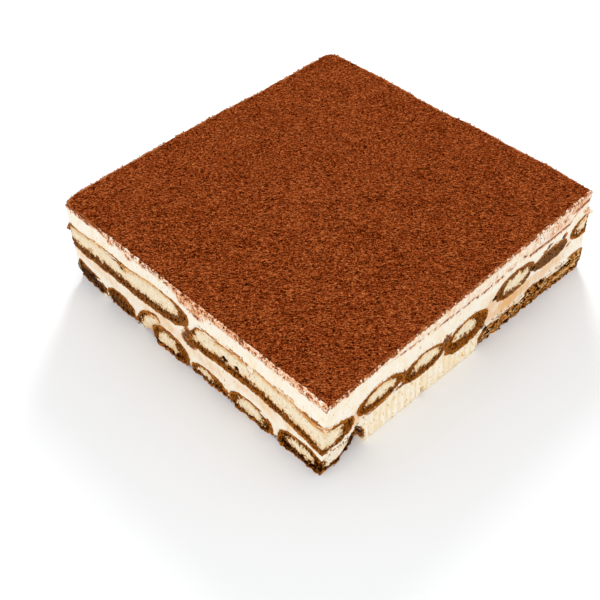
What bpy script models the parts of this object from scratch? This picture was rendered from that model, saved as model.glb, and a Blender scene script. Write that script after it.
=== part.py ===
"""A square tiramisu: cream and two layers of soaked ladyfingers under a dusting of cocoa.

Lengths are in metres. The block's four sides are knife cuts. Places are measured on them:
x from the left corner along the front side, y from the front corner along the right side,
and depth down from the cocoa. The origin is the middle of the underside.
"""

import math
import random

import bmesh
import bpy
from mathutils import Matrix, Vector

# Whole cake
SIZE_X = 0.190
SIZE_Y = 0.203
HEIGHT = 0.054
COCOA = 0.0013
GAP = 0.0003
OVERRUN = 0.008

# The cut sides lean: how far each corner's foot stands outside the top's corner, along x and y
FOOT_LEFT_FRONT = (-0.002, -0.0006)
FOOT_RIGHT_FRONT = (-0.0034, -0.0002)
FOOT_RIGHT_BACK = (0.004, 0.0013)
FOOT_LEFT_BACK = (-0.004, 0.0010)
FRONT_BELLY = 0.0011
CUT_STATIONS = 6

# Ladyfingers: the shape of one, and how uneven they are
FINGER_SIDES = 12
FINGER_RINGS = 9
LOAF_POWER = 2.4
BASE_POWER = 5
END_POWER = 5
UNEVEN = 0.0004
BEYOND_CUT = 0.020
MIDDLE_SEAM = 0.099

# Upper layer, rows from front to back: middle along y, width, depth of top and underside at
# the right side, and how much deeper they are there than at the seam
UPPER_ROWS = (
    (0.0050, 0.0300, 0.0125, 0.0300, 0),
    (0.0365, 0.0310, 0.0145, 0.0320, 0),
    (0.0680, 0.0312, 0.0186, 0.0357, 0.002),
    (0.1010, 0.0340, 0.0200, 0.0410, 0.007),
    (0.1385, 0.0310, 0.0135, 0.0300, 0),
    (0.1705, 0.0306, 0.0185, 0.0287, 0),
    (0.2020, 0.0280, 0.0157, 0.0287, 0),
)
UPPER_LEFT_END = 0.0945
UPPER_RIGHT_START = 0.0965
END_RAKE = 0.0050
FRONT_RIGHT_SAG = 0.0100
FRONT_RIGHT_RISE = -0.0048
FRONT_LEFT_RISE = 0.0023

# Lower layer, columns from left to right along the front: middle along x, width, depth of top.
# They sink a little into the floor plane, which gives each a flat base. One has tipped over
# about its middle and leans on the next
LOWER_FRONT = (
    (0.0075, 0.0340, 0.0410),
    (0.0380, 0.0246, 0.0395),
    (0.0615, 0.0238, 0.0385),
    (0.0799, 0.0302, 0.0375),
    (0.1097, 0.0282, 0.0445),
    (0.1402, 0.0314, 0.0395),
    (0.1732, 0.0284, 0.0395),
)
SINK = 0.0018
TIPPED_COLUMN = 2
TIPPED_THICKNESS = 0.0100
TIPPED_LEAN = math.radians(48)
TIPPED_RISE = -0.0026
TIPPED_GAP = ((0.0560, 0.0525), (0.0590, 0.0500), (0.0655, 0.0465), (0.0670, 0.0500))
TIPPED_GAP_DEEP = 0.0070
STUB_COLUMN = 6
STUB_END = 0.036
STUB_TURN = math.radians(2.5)
STUB_POWER = 2.8

# Lower layer at the back: a regular row, then the finger that runs along the right side
LOWER_BACK_FIRST = 0.0090
LOWER_BACK_PITCH = 0.0282
LOWER_BACK_COUNT = 6
LOWER_BACK_TOP = 0.0400
SIDE_FINGER = (0.1840, 0.0350, 0.0395)
SIDE_FINGER_START = 0.113

# Cream on the right side: a ribbed foot down to the plate, and a cave beside the stub, whose
# sizes are given at its front and back ends
FOOT_START = 0.0285
FOOT_END = 0.1125
FOOT_TOP = 0.0360
FOOT_PROUD = 0.0020
FOOT_THICK = 0.0060
FOOT_ROOT = 0.0004
RIB_PITCH = 0.0042
RIB_DEPTH = 0.0005
CAVE_START = 0.0120
CAVE_END_TOP = 0.0230
CAVE_LIP = (0.0460, 0.0335)
CAVE_ROOF = (0.0500, 0.0400)
CAVE_DEEP = (0.0030, 0.0120)

# Colours as linear red, green and blue
COCOA_BROWN = (0.240, 0.048, 0.012, 1)
CREAM_IVORY = (0.940, 0.860, 0.680, 1)
SPONGE_BROWN = (0.300, 0.150, 0.055, 1)

dice = random.Random(7)


def clear_scene():
    for obj in list(bpy.data.objects):
        bpy.data.objects.remove(obj, do_unlink=True)


def place(x, y, depth):
    """A point given by its place on the cut sides, in the part's own frame."""
    return Vector((x - SIZE_X / 2, y - SIZE_Y / 2, HEIGHT - depth))


def material(name, colour, roughness):
    made = bpy.data.materials.new(name)
    made.use_nodes = True
    shader = made.node_tree.nodes["Principled BSDF"]
    shader.inputs["Base Color"].default_value = colour
    shader.inputs["Roughness"].default_value = roughness
    shader.inputs["Metallic"].default_value = 0
    made.diffuse_color = colour
    return made


def object_from(bm, name, look=None):
    bmesh.ops.recalc_face_normals(bm, faces=bm.faces)
    mesh = bpy.data.meshes.new(name)
    bm.to_mesh(mesh)
    bm.free()
    obj = bpy.data.objects.new(name, mesh)
    bpy.context.scene.collection.objects.link(obj)
    if look:
        mesh.materials.append(look)
    else:
        obj.hide_render = True
        obj.display_type = "WIRE"
    return obj


def combine(obj, operation, other, solver="EXACT"):
    """One Boolean, with an object or with a whole collection."""
    step = obj.modifiers.new(operation.lower(), "BOOLEAN")
    step.operation = operation
    step.solver = solver
    if isinstance(other, bpy.types.Collection):
        step.operand_type = "COLLECTION"
        step.collection = other
    else:
        step.object = other


def islands(bm):
    left = set(bm.verts)
    while left:
        island = set()
        edge = {left.pop()}
        while edge:
            island |= edge
            edge = {e.other_vert(v) for v in edge for e in v.link_edges} - island
        left -= island
        yield island


def finish(obj):
    """Applies the Booleans and drops the loose scraps that they leave."""
    bpy.context.view_layer.update()
    graph = bpy.context.evaluated_depsgraph_get()
    mesh = bpy.data.meshes.new_from_object(obj.evaluated_get(graph))
    bm = bmesh.new()
    bm.from_mesh(mesh)
    keep = max(islands(bm), key=len)
    bmesh.ops.delete(bm, geom=[v for v in bm.verts if v not in keep], context="VERTS")
    bm.to_mesh(mesh)
    bm.free()
    mesh.name = obj.name
    obj.modifiers.clear()
    obj.data = mesh


def foot_offset(along_x, along_y):
    """How far a point of the outline moves outwards on the way from the top to the floor."""
    offset = []
    for axis in range(2):
        front = FOOT_LEFT_FRONT[axis] * (1 - along_x) + FOOT_RIGHT_FRONT[axis] * along_x
        back = FOOT_LEFT_BACK[axis] * (1 - along_x) + FOOT_RIGHT_BACK[axis] * along_x
        offset.append(front * (1 - along_y) + back * along_y)
    if along_y == 0:
        offset[1] -= FRONT_BELLY * math.sin(math.pi * along_x)
    return offset


def outline():
    """The block's outline, as shares of its two sides, once round."""
    steps = [i / CUT_STATIONS for i in range(CUT_STATIONS)]
    return (
        [(s, 0) for s in steps]
        + [(1, s) for s in steps]
        + [(1 - s, 1) for s in steps]
        + [(0, 1 - s) for s in steps]
    )


def knife_block(top, bottom):
    """The space inside the four cuts, between two depths."""
    bm = bmesh.new()
    loops = []
    for depth in (top, bottom):
        loop = []
        for along_x, along_y in outline():
            point = place(along_x * SIZE_X, along_y * SIZE_Y, depth)
            shift = foot_offset(along_x, along_y)
            point.x += shift[0] * depth / HEIGHT
            point.y += shift[1] * depth / HEIGHT
            loop.append(bm.verts.new(point))
        loops.append(loop)
    count = len(loops[0])
    for i in range(count):
        j = (i + 1) % count
        bm.faces.new((loops[0][i], loops[0][j], loops[1][j], loops[1][i]))
    bm.faces.new(loops[0])
    bm.faces.new(loops[1])
    return bm


def loaf(
    length, width, thickness, sag=0, rise=0, rake=0, blunt=END_POWER, base=LOAF_POWER, seed=0, grow=0
):
    """A ladyfinger along x around the origin: round in section, with blunt ends."""
    bm = bmesh.new()
    bmesh.ops.create_uvsphere(bm, u_segments=FINGER_SIDES, v_segments=FINGER_RINGS, radius=1)
    uneven = random.Random(seed)
    waves = [uneven.uniform(0, math.tau) for _ in range(2)]
    for vert in bm.verts:
        along = vert.co.z
        girth = max(0.0, 1 - abs(along) ** blunt) ** (1 / blunt)
        radius = math.hypot(vert.co.x, vert.co.y)
        across, up = (vert.co.x / radius, vert.co.y / radius) if radius > 1e-6 else (0, 0)
        power = LOAF_POWER if up > 0 else base
        square = (abs(across) ** power + abs(up) ** power) ** (1 / power) or 1
        across, up = across / square * girth, up / square * girth
        lift = UNEVEN * math.sin(3 * along + waves[0]) - sag * along * along + rise * along
        vert.co = (
            along * (length / 2 + grow) + rake * up,
            across * (width / 2 + grow),
            up * (thickness / 2 + grow) + lift,
        )
    return bm


class Finger:
    """One ladyfinger, made twice: as the part, and a little larger to press it into the cream."""

    def __init__(self, name, axis, start, end, middle, width, top, bottom, roll=0, turn=0, **bend):
        self.name = name
        centre = ((start + end) / 2, middle) if axis == "X" else (middle, (start + end) / 2)
        heading = 0 if axis == "X" else math.pi / 2
        self.shape = dict(length=end - start, width=width, thickness=bottom - top, **bend)
        self.seed = dice.random()
        self.matrix = (
            Matrix.Translation(place(*centre, (top + bottom) / 2))
            @ Matrix.Rotation(heading + turn, 4, "Z")
            @ Matrix.Rotation(roll, 4, "X")
        )

    def mesh(self, grow=0):
        bm = loaf(seed=self.seed, grow=grow, **self.shape)
        bmesh.ops.transform(bm, matrix=self.matrix, verts=bm.verts)
        return bm


def upper_fingers():
    made = []
    right_end = SIZE_X + BEYOND_CUT
    reach = (2 * SIZE_X - UPPER_RIGHT_START - right_end) / (right_end - UPPER_RIGHT_START)
    for row, (middle, width, top, bottom, slope) in enumerate(UPPER_ROWS, 1):
        fall = slope / (1 + reach)
        left_bend = dict(rake=END_RAKE)
        right_bend = dict(rake=END_RAKE, rise=-fall)
        if row == 1:
            left_bend["rise"] = FRONT_LEFT_RISE
            right_bend["rise"] = FRONT_RIGHT_RISE
            right_bend["sag"] = FRONT_RIGHT_SAG
        left = (-BEYOND_CUT, UPPER_LEFT_END, middle, width, top - slope, bottom - slope)
        right = (UPPER_RIGHT_START, right_end, middle, width)
        right += (top - fall * reach, bottom - fall * reach)
        made.append(Finger(f"upper_finger_{row}_left", "X", *left, **left_bend))
        made.append(Finger(f"upper_finger_{row}_right", "X", *right, **right_bend))
    return made


def lower_fingers():
    made = []
    floor = HEIGHT + SINK
    for column, (middle, width, top) in enumerate(LOWER_FRONT):
        start, end, bottom, roll, turn = -BEYOND_CUT, MIDDLE_SEAM - GAP, floor, 0, 0
        bend = dict(base=BASE_POWER)
        if column == TIPPED_COLUMN:
            bottom = top + TIPPED_THICKNESS
            roll = -TIPPED_LEAN
            bend = dict(rise=TIPPED_RISE)
        if column == STUB_COLUMN:
            start, end, turn = -STUB_END, STUB_END, STUB_TURN
            bend["blunt"] = STUB_POWER
        name = f"lower_finger_{column + 1}_front"
        span = start, end, middle, width, top, bottom
        made.append(Finger(name, "Y", *span, roll, turn, **bend))
    for column in range(LOWER_BACK_COUNT):
        middle = LOWER_BACK_FIRST + column * LOWER_BACK_PITCH
        span = middle, LOWER_BACK_PITCH - 2 * GAP, LOWER_BACK_TOP + dice.uniform(-1, 2) * 0.001
        name = f"lower_finger_{column + 1}_back"
        ends = MIDDLE_SEAM + GAP, SIZE_Y + BEYOND_CUT
        made.append(Finger(name, "Y", *ends, *span, floor, base=BASE_POWER))
    name = f"lower_finger_{LOWER_BACK_COUNT + 1}_back"
    ends = SIDE_FINGER_START, SIZE_Y + BEYOND_CUT
    made.append(Finger(name, "Y", *ends, *SIDE_FINGER, floor, base=BASE_POWER))
    return made


def parting_depths():
    """Where the two creams meet between the upper fingers: (y, depth) from front to back."""
    rows = [(row[0], (row[2] + row[3] - row[4]) / 2) for row in UPPER_ROWS]
    line = [(-OVERRUN, rows[0][1])]
    line += rows
    line.append((SIZE_Y + OVERRUN, line[-1][1]))
    return line


def layer(name, look, top, bottom):
    """A layer across the whole block: top and bottom give its depth at each y of the parting."""
    bm = bmesh.new()
    section = [(y, top(depth)) for y, depth in parting_depths()]
    section += [(y, bottom(depth)) for y, depth in reversed(parting_depths())]
    corners = [bm.verts.new(place(-OVERRUN, y, depth)) for y, depth in section]
    face = bm.faces.new(corners)
    extruded = bmesh.ops.extrude_face_region(bm, geom=[face])["geom"]
    side = [v for v in extruded if isinstance(v, bmesh.types.BMVert)]
    bmesh.ops.translate(bm, verts=side, vec=(SIZE_X + 2 * OVERRUN, 0, 0))
    return object_from(bm, name, look)


def prism(name, near, far):
    """A cutter between two rings of points with as many corners each."""
    bm = bmesh.new()
    loops = [[bm.verts.new(point) for point in ring] for ring in (near, far)]
    count = len(near)
    for i in range(count):
        j = (i + 1) % count
        bm.faces.new((loops[0][i], loops[0][j], loops[1][j], loops[1][i]))
    bm.faces.new(loops[0])
    bm.faces.new(loops[1])
    return object_from(bm, name)


def cave():
    """What is missing under the right side beside the stub, back to the foot's sloping end."""
    rings = []
    for back in (0, 1):
        lip, roof, wall = CAVE_LIP[back], CAVE_ROOF[back], SIZE_X - CAVE_DEEP[back]
        slope = (roof - lip) / CAVE_DEEP[back]
        profile = (
            (SIZE_X + OVERRUN, lip - OVERRUN * slope),
            (wall, roof),
            (wall, HEIGHT + OVERRUN),
            (SIZE_X + OVERRUN, HEIGHT + OVERRUN),
        )
        ring = []
        for x, depth in profile:
            share = (depth - lip) / (HEIGHT - lip)
            far = CAVE_END_TOP + (FOOT_START - CAVE_END_TOP) * share
            ring.append(place(x, far if back else CAVE_START, depth))
        rings.append(ring)
    return prism("cave_cutter", *rings)


def tipped_gap():
    """The empty wedge over the plate between the tipped finger and the one it leans on."""
    below = HEIGHT + OVERRUN
    profile = (*TIPPED_GAP, (TIPPED_GAP[-1][0], below), (TIPPED_GAP[0][0], below))
    near = [place(x, -OVERRUN, depth) for x, depth in profile]
    far = [place(x, TIPPED_GAP_DEEP, depth) for x, depth in profile]
    return prism("tipped_gap_cutter", near, far)


def ribbed_foot():
    """The cream that runs down to the plate on the right side, with the ribs of the cut."""
    bm = bmesh.new()
    ribs = round((FOOT_END - FOOT_START) / RIB_PITCH)
    columns = []
    for i in range(2 * ribs + 1):
        share = i / (2 * ribs)
        y = FOOT_START + (FOOT_END - FOOT_START) * share
        proud = FOOT_PROUD - RIB_DEPTH * (i % 2)
        lean = foot_offset(1, y / SIZE_Y)[0]
        column = []
        for depth, out in ((FOOT_TOP, -FOOT_ROOT), (HEIGHT, proud)):
            point = place(SIZE_X, y, depth)
            face = point.x + lean * depth / HEIGHT
            column.append(bm.verts.new((face - FOOT_THICK, point.y, point.z)))
            column.append(bm.verts.new((face + out, point.y, point.z)))
        columns.append(column)
    ring = (0, 1, 3, 2)
    for here, after in zip(columns, columns[1:]):
        for a, b in zip(ring, ring[1:] + ring[:1]):
            bm.faces.new((here[a], here[b], after[b], after[a]))
    bm.faces.new([columns[0][i] for i in ring])
    bm.faces.new([columns[-1][i] for i in ring])
    return object_from(bm, "foot_helper")


def build():
    clear_scene()
    cocoa = material("cocoa", COCOA_BROWN, 0.95)
    cream = material("cream", CREAM_IVORY, 0.45)
    sponge = material("ladyfinger", SPONGE_BROWN, 0.6)

    cuts = object_from(knife_block(-OVERRUN, HEIGHT), "cuts_cutter")
    pressed = bpy.data.collections.new("pressed_fingers")
    bpy.context.scene.collection.children.link(pressed)
    fingers = {}
    for finger in upper_fingers() + lower_fingers():
        fingers[finger.name] = object_from(finger.mesh(), finger.name, sponge)
        combine(fingers[finger.name], "INTERSECT", cuts)
        grown = object_from(finger.mesh(GAP), finger.name + "_cutter")
        bpy.context.scene.collection.objects.unlink(grown)
        pressed.objects.link(grown)
    tipped = fingers[f"lower_finger_{TIPPED_COLUMN + 1}_front"]
    for column in (TIPPED_COLUMN, TIPPED_COLUMN + 2):
        combine(tipped, "DIFFERENCE", pressed.objects[f"lower_finger_{column}_front_cutter"])

    top_cream = layer("cream_top", cream, lambda _: COCOA + GAP, lambda d: d - GAP / 2)
    middle_cream = layer("cream_middle", cream, lambda d: d + GAP / 2, lambda _: HEIGHT + OVERRUN)
    for obj in (top_cream, middle_cream):
        combine(obj, "INTERSECT", cuts)
    combine(middle_cream, "UNION", ribbed_foot())
    combine(middle_cream, "DIFFERENCE", cave())
    combine(middle_cream, "DIFFERENCE", tipped_gap(), solver="MANIFOLD")
    for obj in (top_cream, middle_cream):
        combine(obj, "DIFFERENCE", pressed, solver="MANIFOLD")
    for obj in [*fingers.values(), top_cream, middle_cream]:
        finish(obj)
    object_from(knife_block(0, COCOA), "cocoa_dusting", cocoa)

    for helper in [obj for obj in bpy.data.objects if obj.hide_render]:
        bpy.data.objects.remove(helper, do_unlink=True)
    bpy.data.collections.remove(pressed)


build()
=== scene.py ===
"""A square tiramisu, cut on four sides: cream, two layers of soaked ladyfingers, and cocoa.

Measured values are in millimetres, and places on a cut side are (s, depth): s runs along the
side, from left to right as it is seen from outside, and depth runs down from the cocoa.
"""

import math
import random

import bmesh
import bpy
import numpy as np
from mathutils import Euler, Matrix, Vector, noise
from mathutils.bvhtree import BVHTree


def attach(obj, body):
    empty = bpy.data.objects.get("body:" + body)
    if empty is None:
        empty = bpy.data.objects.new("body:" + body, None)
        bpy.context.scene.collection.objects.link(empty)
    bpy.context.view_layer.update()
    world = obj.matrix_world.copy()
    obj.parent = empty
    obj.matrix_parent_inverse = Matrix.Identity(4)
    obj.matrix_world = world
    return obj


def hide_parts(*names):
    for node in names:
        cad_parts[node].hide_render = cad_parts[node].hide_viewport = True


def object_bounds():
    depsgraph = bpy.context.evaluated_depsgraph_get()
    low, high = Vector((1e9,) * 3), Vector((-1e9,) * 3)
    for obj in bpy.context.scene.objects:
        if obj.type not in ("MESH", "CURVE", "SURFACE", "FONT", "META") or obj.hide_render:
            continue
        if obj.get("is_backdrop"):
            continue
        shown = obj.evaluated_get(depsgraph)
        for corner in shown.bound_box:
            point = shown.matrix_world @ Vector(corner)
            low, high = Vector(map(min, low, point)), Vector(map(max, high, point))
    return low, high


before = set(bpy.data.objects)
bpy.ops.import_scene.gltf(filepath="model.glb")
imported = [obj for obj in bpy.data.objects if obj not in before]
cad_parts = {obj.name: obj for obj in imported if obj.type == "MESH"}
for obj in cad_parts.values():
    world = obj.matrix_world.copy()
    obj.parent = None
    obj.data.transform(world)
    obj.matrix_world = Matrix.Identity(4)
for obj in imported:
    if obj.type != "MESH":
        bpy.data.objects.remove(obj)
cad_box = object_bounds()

MM = 0.001
UP = Vector((0, 0, 1))

# The block
WIDE = 190.0
LONG = 203.0
HIGH = 54.0

# How finely the surfaces are worked, in mm
COCOA_STEP = 0.63
CREAM_STEP = 0.66
CRUMB_STEP = 0.5
FINGER_VOXEL = 1.25
RIM_STEP = 0.45

# Colours of the surfaces, as sRGB
# The lightest and darkest cocoa are painted highlight on the clumps and painted shade in the pits
COCOA_CLUMP_HIGHLIGHT = (208, 118, 62)
COCOA_MID = (146, 60, 20)
COCOA_PIT_SHADE = (46, 10, 0)
COCOA_THIN = (214, 132, 78)
DRAG_BROWN = (116, 47, 10)
DRAG_RED = (178, 93, 42)
DRAG_HALO = (224, 156, 105)
CRACK_HALO = (220, 152, 102)
CRACK_BROWN = (98, 40, 8)
STAIN_HALO = (216, 160, 96)
CREAM_IVORY = (240, 232, 216)
CREAM_WARM = (238, 217, 180)
CREAM_SPOT = (216, 182, 118)
CREAM_MOCHA = (226, 172, 112)
CREAM_DUSTED = (230, 184, 146)
CRUMB_PALE = (238, 223, 194)
CRUMB_SHADE = (196, 154, 94)
CRUMB_GOLD = (216, 166, 94)
CRUMB_PORE = (104, 62, 28)
CRUST_GOLD = (222, 154, 78)
CRUST_BROWN = (174, 104, 40)
SOAKED_MID = (130, 72, 22)
SOAKED_DARK = (38, 11, 0)
SOAKED_AMBER = (194, 118, 42)
SOAKED_GREY = (104, 74, 52)
SOAKED_TAN = (180, 130, 78)
HOLE_SHADE = (34, 14, 4)

# How rough the sponge is, dry and soaked, and how far the plain noise is spread out
DRY_ROUGH = 0.9
WET_ROUGH = 0.55
NOISE_GAIN = 5.0

# What the material of the cream reads at each place of its mesh: how tinted it is with coffee,
# how far above the lower edge of the dusted band it lies, how dark the crack along that edge is,
# how much cocoa is dragged over it, which on the curls of the rim is painted warm shade round
# their lower halves, how much sponge is torn over it, how deep a hole is, which sets painted
# shade in it, and how warm the foot is, with painted shade in the hollows between its ribs
CREAM_LOOKS = ("mocha", "band", "crack", "drag", "stain", "pit", "foot")
# What the material of the sponge reads: how far inside the skin the place lies, how far inside
# the soaked zone, how much cream is smeared over it, how deep a hole is, which sets painted shade
# in it, how thick the crust is, how dark and how grey the crumb is, and whether the finger is
# torn along its length
FINGER_LOOKS = ("skin", "soak", "smeared", "pit", "toast", "burnt", "grey", "torn")


def clamp(value, low=0.0, high=1.0):
    """The value, kept between low and high."""
    return max(low, min(high, value))


def smooth(value, low, high):
    """0 below low and 1 above high, with a soft step between."""
    share = clamp((value - low) / (high - low))
    return share * share * (3 - 2 * share)


def along(table, s):
    """The value at s of a table of (s, value)."""
    places, values = zip(*table)
    return float(np.interp(s, places, values))


def linear(colour):
    """An sRGB colour of 0 to 255, as the linear colour that a shader takes."""
    shares = [c / 255 for c in colour]
    return (*[s / 12.92 if s <= 0.04045 else ((s + 0.055) / 1.055) ** 2.4 for s in shares], 1)


def grain(x, y, size, layer):
    """Smooth noise from -1 to 1 whose blobs are about size wide. Each layer is another pattern."""
    return noise.noise(Vector((x / size, y / size, layer * 7.3 + 0.5)))


# The four cut sides


class Side:
    """One cut side. Lengths are in mm."""

    def __init__(self, name, corner, along, outward, length):
        self.name = name
        self.corner = Vector(corner)
        self.along = Vector(along)
        self.outward = Vector(outward)
        self.length = length

    def point(self, s, depth, out):
        """A point of the part, this far out from the side."""
        return (self.corner + self.along * s + self.outward * out + UP * (HIGH - depth)) * MM

    def read(self, co):
        """(s, depth, out) of a point of the part."""
        rel = co / MM - self.corner
        return rel.dot(self.along), HIGH - co.z / MM, rel.dot(self.outward)


SIDES = {
    "front": Side("front", (-WIDE / 2, -LONG / 2, 0), (1, 0, 0), (0, -1, 0), WIDE),
    "right": Side("right", (WIDE / 2, -LONG / 2, 0), (0, 1, 0), (1, 0, 0), LONG),
    "back": Side("back", (WIDE / 2, LONG / 2, 0), (-1, 0, 0), (0, 1, 0), WIDE),
    "left": Side("left", (-WIDE / 2, LONG / 2, 0), (0, -1, 0), (-1, 0, 0), LONG),
}


def side_of(co):
    """The cut side that a point lies nearest to, with its (s, depth, out) there."""
    best = None
    for side in SIDES.values():
        s, depth, out = side.read(co)
        if best is None or abs(out) < abs(best[3]):
            best = (side, s, depth, out)
    return best


# Marks on the cut sides

# Small holes on each side, painted dark inside as shade: s, depth, radius, how deep
HOLES = {
    "front": (
        (44, 17, 1.3, 2.2), (123, 22.6, 1.5, 3.2), (131.5, 22.6, 1.2, 2.8), (100.5, 21.5, 1.2, 2.2),
        (104, 26, 0.9, 1.6), (88, 24, 0.8, 1.4), (23.5, 46, 1, 1.8), (82, 52, 1.1, 1.8),
        (182, 51, 1.2, 2.2),
    ),
    "right": (
        (168.5, 17.4, 1.3, 3), (165, 18.6, 0.8, 2), (182, 19, 1.1, 2.6), (154.8, 23.5, 1.5, 3),
        # The three holes at s 22.8 to 26.2 trace the shadow along the edge of the cave beside the
        # foot: painted shade
        (122.5, 22.6, 1.4, 2.6), (29.5, 27, 1, 2), (69.6, 51, 1, 2), (22.8, 35, 1.1, 2),
        (24.6, 39.5, 1.2, 2.2), (26.2, 44, 1.2, 2.2), (40, 28, 0.7, 1.4), (96.5, 30.5, 0.9, 1.8),
        (100.5, 31.5, 0.8, 1.6), (115.5, 38.5, 1.5, 2.6), (118, 42, 1.2, 2.4), (152, 49, 1.4, 2.6),
        (165.5, 40.5, 1.3, 2.6),
    ),
    "back": ((62, 19, 1.5, 2.6), (131, 24, 1.2, 2.4)),
    "left": ((48, 21, 1.4, 2.6), (150, 17, 1.1, 2.2)),
}

# The patches of the next tables are (s, depth, half width, half height, how much)

# Where coffee has tinted the cream
MOCHA = {
    "front": (
        (76, 32.5, 30, 5, 0.46), (20, 34, 28, 4.5, 0.46), (150, 34, 32, 4.5, 0.46),
        (108, 36.5, 16, 4, 0.48),
    ),
    "right": (
        (20.5, 27, 4, 7, 0.6), (121, 29, 6, 9, 0.8), (134, 34, 22, 5.5, 0.95),
        (168, 33.5, 17, 4.5, 0.8), (187, 29, 3, 5, 0.4), (36, 31, 12, 2.4, 0.5),
    ),
    "back": ((100, 34, 40, 5, 0.7), (24, 33, 18, 4, 0.6)),
    "left": ((60, 33, 30, 5, 0.7), (150, 33, 25, 5, 0.6)),
}

# Where sponge and crust lie torn over the cream, and where sponge colour paints shade in the notches
# between the fingers at the floor and in the cave
STAINS = {
    "front": (
        (96.5, 30, 6, 5, 1), (97.5, 24.5, 4.5, 3, 1), (100.5, 21.8, 2.2, 1.4, 0.9),
        (77.5, 9.7, 3.2, 0.7, 0.9), (111, 13.4, 6, 0.7, 0.9), (31.5, 12.4, 4, 0.8, 0.75),
        (38, 12.6, 2, 0.7, 0.75), (131, 11.6, 5, 0.8, 0.6), (162, 12.6, 5, 0.8, 0.6),
        # The four patches at depth 50 to 53 darken the notches between the fingers at the floor:
        # painted shade
        (181, 15.5, 6, 1.6, 0.8), (1, 15, 3, 2, 0.9), (49.5, 51, 2.4, 4.5, 1),
        (93, 50.5, 2.2, 4.5, 1), (123, 50.5, 2.2, 4.5, 1), (156.5, 53, 3, 2.2, 1),
    ),
    "right": (
        (52.5, 24, 3, 4.5, 1), (84.5, 26, 4, 6, 1), (35, 32.4, 9, 1, 0.8),
        (52.5, 31.6, 4.5, 1.4, 0.85), (123, 22.6, 2, 2, 0.9), (155.5, 23, 2.2, 3, 0.9),
        (165.5, 18, 2.4, 0.9, 0.7), (169, 16.6, 2.6, 1.4, 0.7), (183, 18.2, 2.6, 1.8, 0.7),
        # The last patch darkens the end wall of the foot inside the cave with sponge colour: painted
        # shade
        (187.5, 27.5, 2.4, 1.2, 0.7), (25.6, 48.5, 2.6, 8.5, 1),
    ),
    "back": ((60, 18, 4, 1.2, 0.8),),
    "left": ((96, 28, 4, 3, 0.8),),
}

# Where cream lies smeared over the sponge
SMEARS = {
    "front": (
        (19.5, 42.6, 2.6, 0.7, 0.8), (22, 52.4, 2.2, 1.6, 0.8), (36, 13, 6, 0.7, 0.7),
        (112, 14.7, 5, 0.7, 0.8), (141.5, 14.5, 2.2, 2.6, 0.8), (149.8, 41.2, 2.6, 1.5, 1),
        (181, 14.2, 6, 0.8, 0.8),
    ),
    "right": (
        (5, 42.5, 15, 6.4, 1.1), (16, 40, 6, 4, 1.1), (8, 16.8, 3, 0.7, 0.6), (59, 17.6, 3, 1, 0.7),
        (131, 39.4, 9, 2, 1), (146, 39.8, 5, 2, 0.9), (180, 40, 11, 2, 0.9),
        (172, 17.5, 6, 1.6, 0.9),
    ),
    "back": ((70, 42, 8, 2, 0.8),),
    "left": ((120, 41, 7, 2, 0.8),),
}

# Where the crumb has stayed pale inside a soaked finger
PALE = {
    "front": ((17.5, 43.2, 2.6, 0.7, 1),),
    "right": (
        (122, 48.8, 8, 0.8, 0.8), (138, 47.6, 7, 0.9, 0.6), (168, 45, 3, 1.6, 0.8),
        (190, 47.6, 14, 1.8, 0.75), (148, 44, 3, 0.8, 0.6),
    ),
    "back": ((90, 47, 14, 1.6, 0.8),),
    "left": ((60, 47, 14, 1.6, 0.8),),
}

# Where the crust is thick
TOAST = {
    "front": (
        (182, 17.2, 8, 1.6, 0.9), (136, 14.2, 3, 1, 0.6), (62, 35.8, 8, 1.2, 0.8),
        (141, 18, 1.2, 4, 0.6), (47, 16, 4, 1.4, 0.7),
    ),
    "right": (
        (35, 15.4, 4.5, 1.2, 0.9), (26, 17, 3, 1.4, 0.7), (58, 19, 3, 1.4, 0.8),
        (95, 21.6, 8, 1, 0.7), (200, 18.4, 6, 1, 0.7), (186, 46.6, 18, 1.6, 0.6),
        (150, 47, 10, 2, 0.5),
    ),
    "back": ((120, 14, 8, 1.2, 0.8),),
    "left": ((80, 14, 8, 1.2, 0.8),),
}

# Where a finger bulges or sinks at the cut: s, depth, half width, half height, then how far up
# and how far along it moves
SWELLS = {
    "front": (
        (77, 13, 17, 6, 1.9, 0), (45, 13.5, 3.5, 4, -2.4, 0), (8, 13, 12, 4, -0.6, 0),
        (94, 18, 6, 6, -0.5, 2.6), (106, 18, 9, 6, 2.6, -0.8), (168, 13.5, 26, 4, -1.2, 0),
        (2, 41, 3.5, 4, 2, 0), (66, 36, 6, 5, 0.8, 2.8), (108, 46, 15, 5, 1.9, 0),
    ),
    "right": (
        (5, 18, 16, 7, -2.2, 0), (36, 17, 16, 9, -1.7, 0), (68, 20, 15, 9, -1.5, 0),
        (100, 22, 16, 9, -1.4, 0), (138, 15, 14, 6, -0.8, 0), (75, 33, 8, 5, -1.2, 0.8),
        (58, 19, 4, 4, 0.8, -0.8), (149, 17, 6, 5, 0.4, 1.2), (170, 19, 12, 4, -0.8, 0),
        (157, 40, 5, 5, 1.6, 0), (180, 41, 12, 5, -1.6, 0), (138, 41, 10, 5, -1.2, 0),
    ),
}

# How far the foot of the sponge stands out, as (s, mm)
TOES = {
    "front": (
        (0, -1), (50, -1.2), (58, -0.8), (63, -0.6), (67, 0.1), (87, 0.1), (94, -0.9), (122, -0.9),
        (129, -0.2), (152, -0.1), (156, -0.5), (160, 0.1), (186, 0.1), (190, -0.2),
    ),
    "right": ((0, 0.4), (22, 0.2), (113, -1.2), (165, -1.2), (203, -0.5)),
    "back": ((0, -0.8), (190, -0.8)),
    "left": ((0, -0.8), (203, -0.8)),
}

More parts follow.
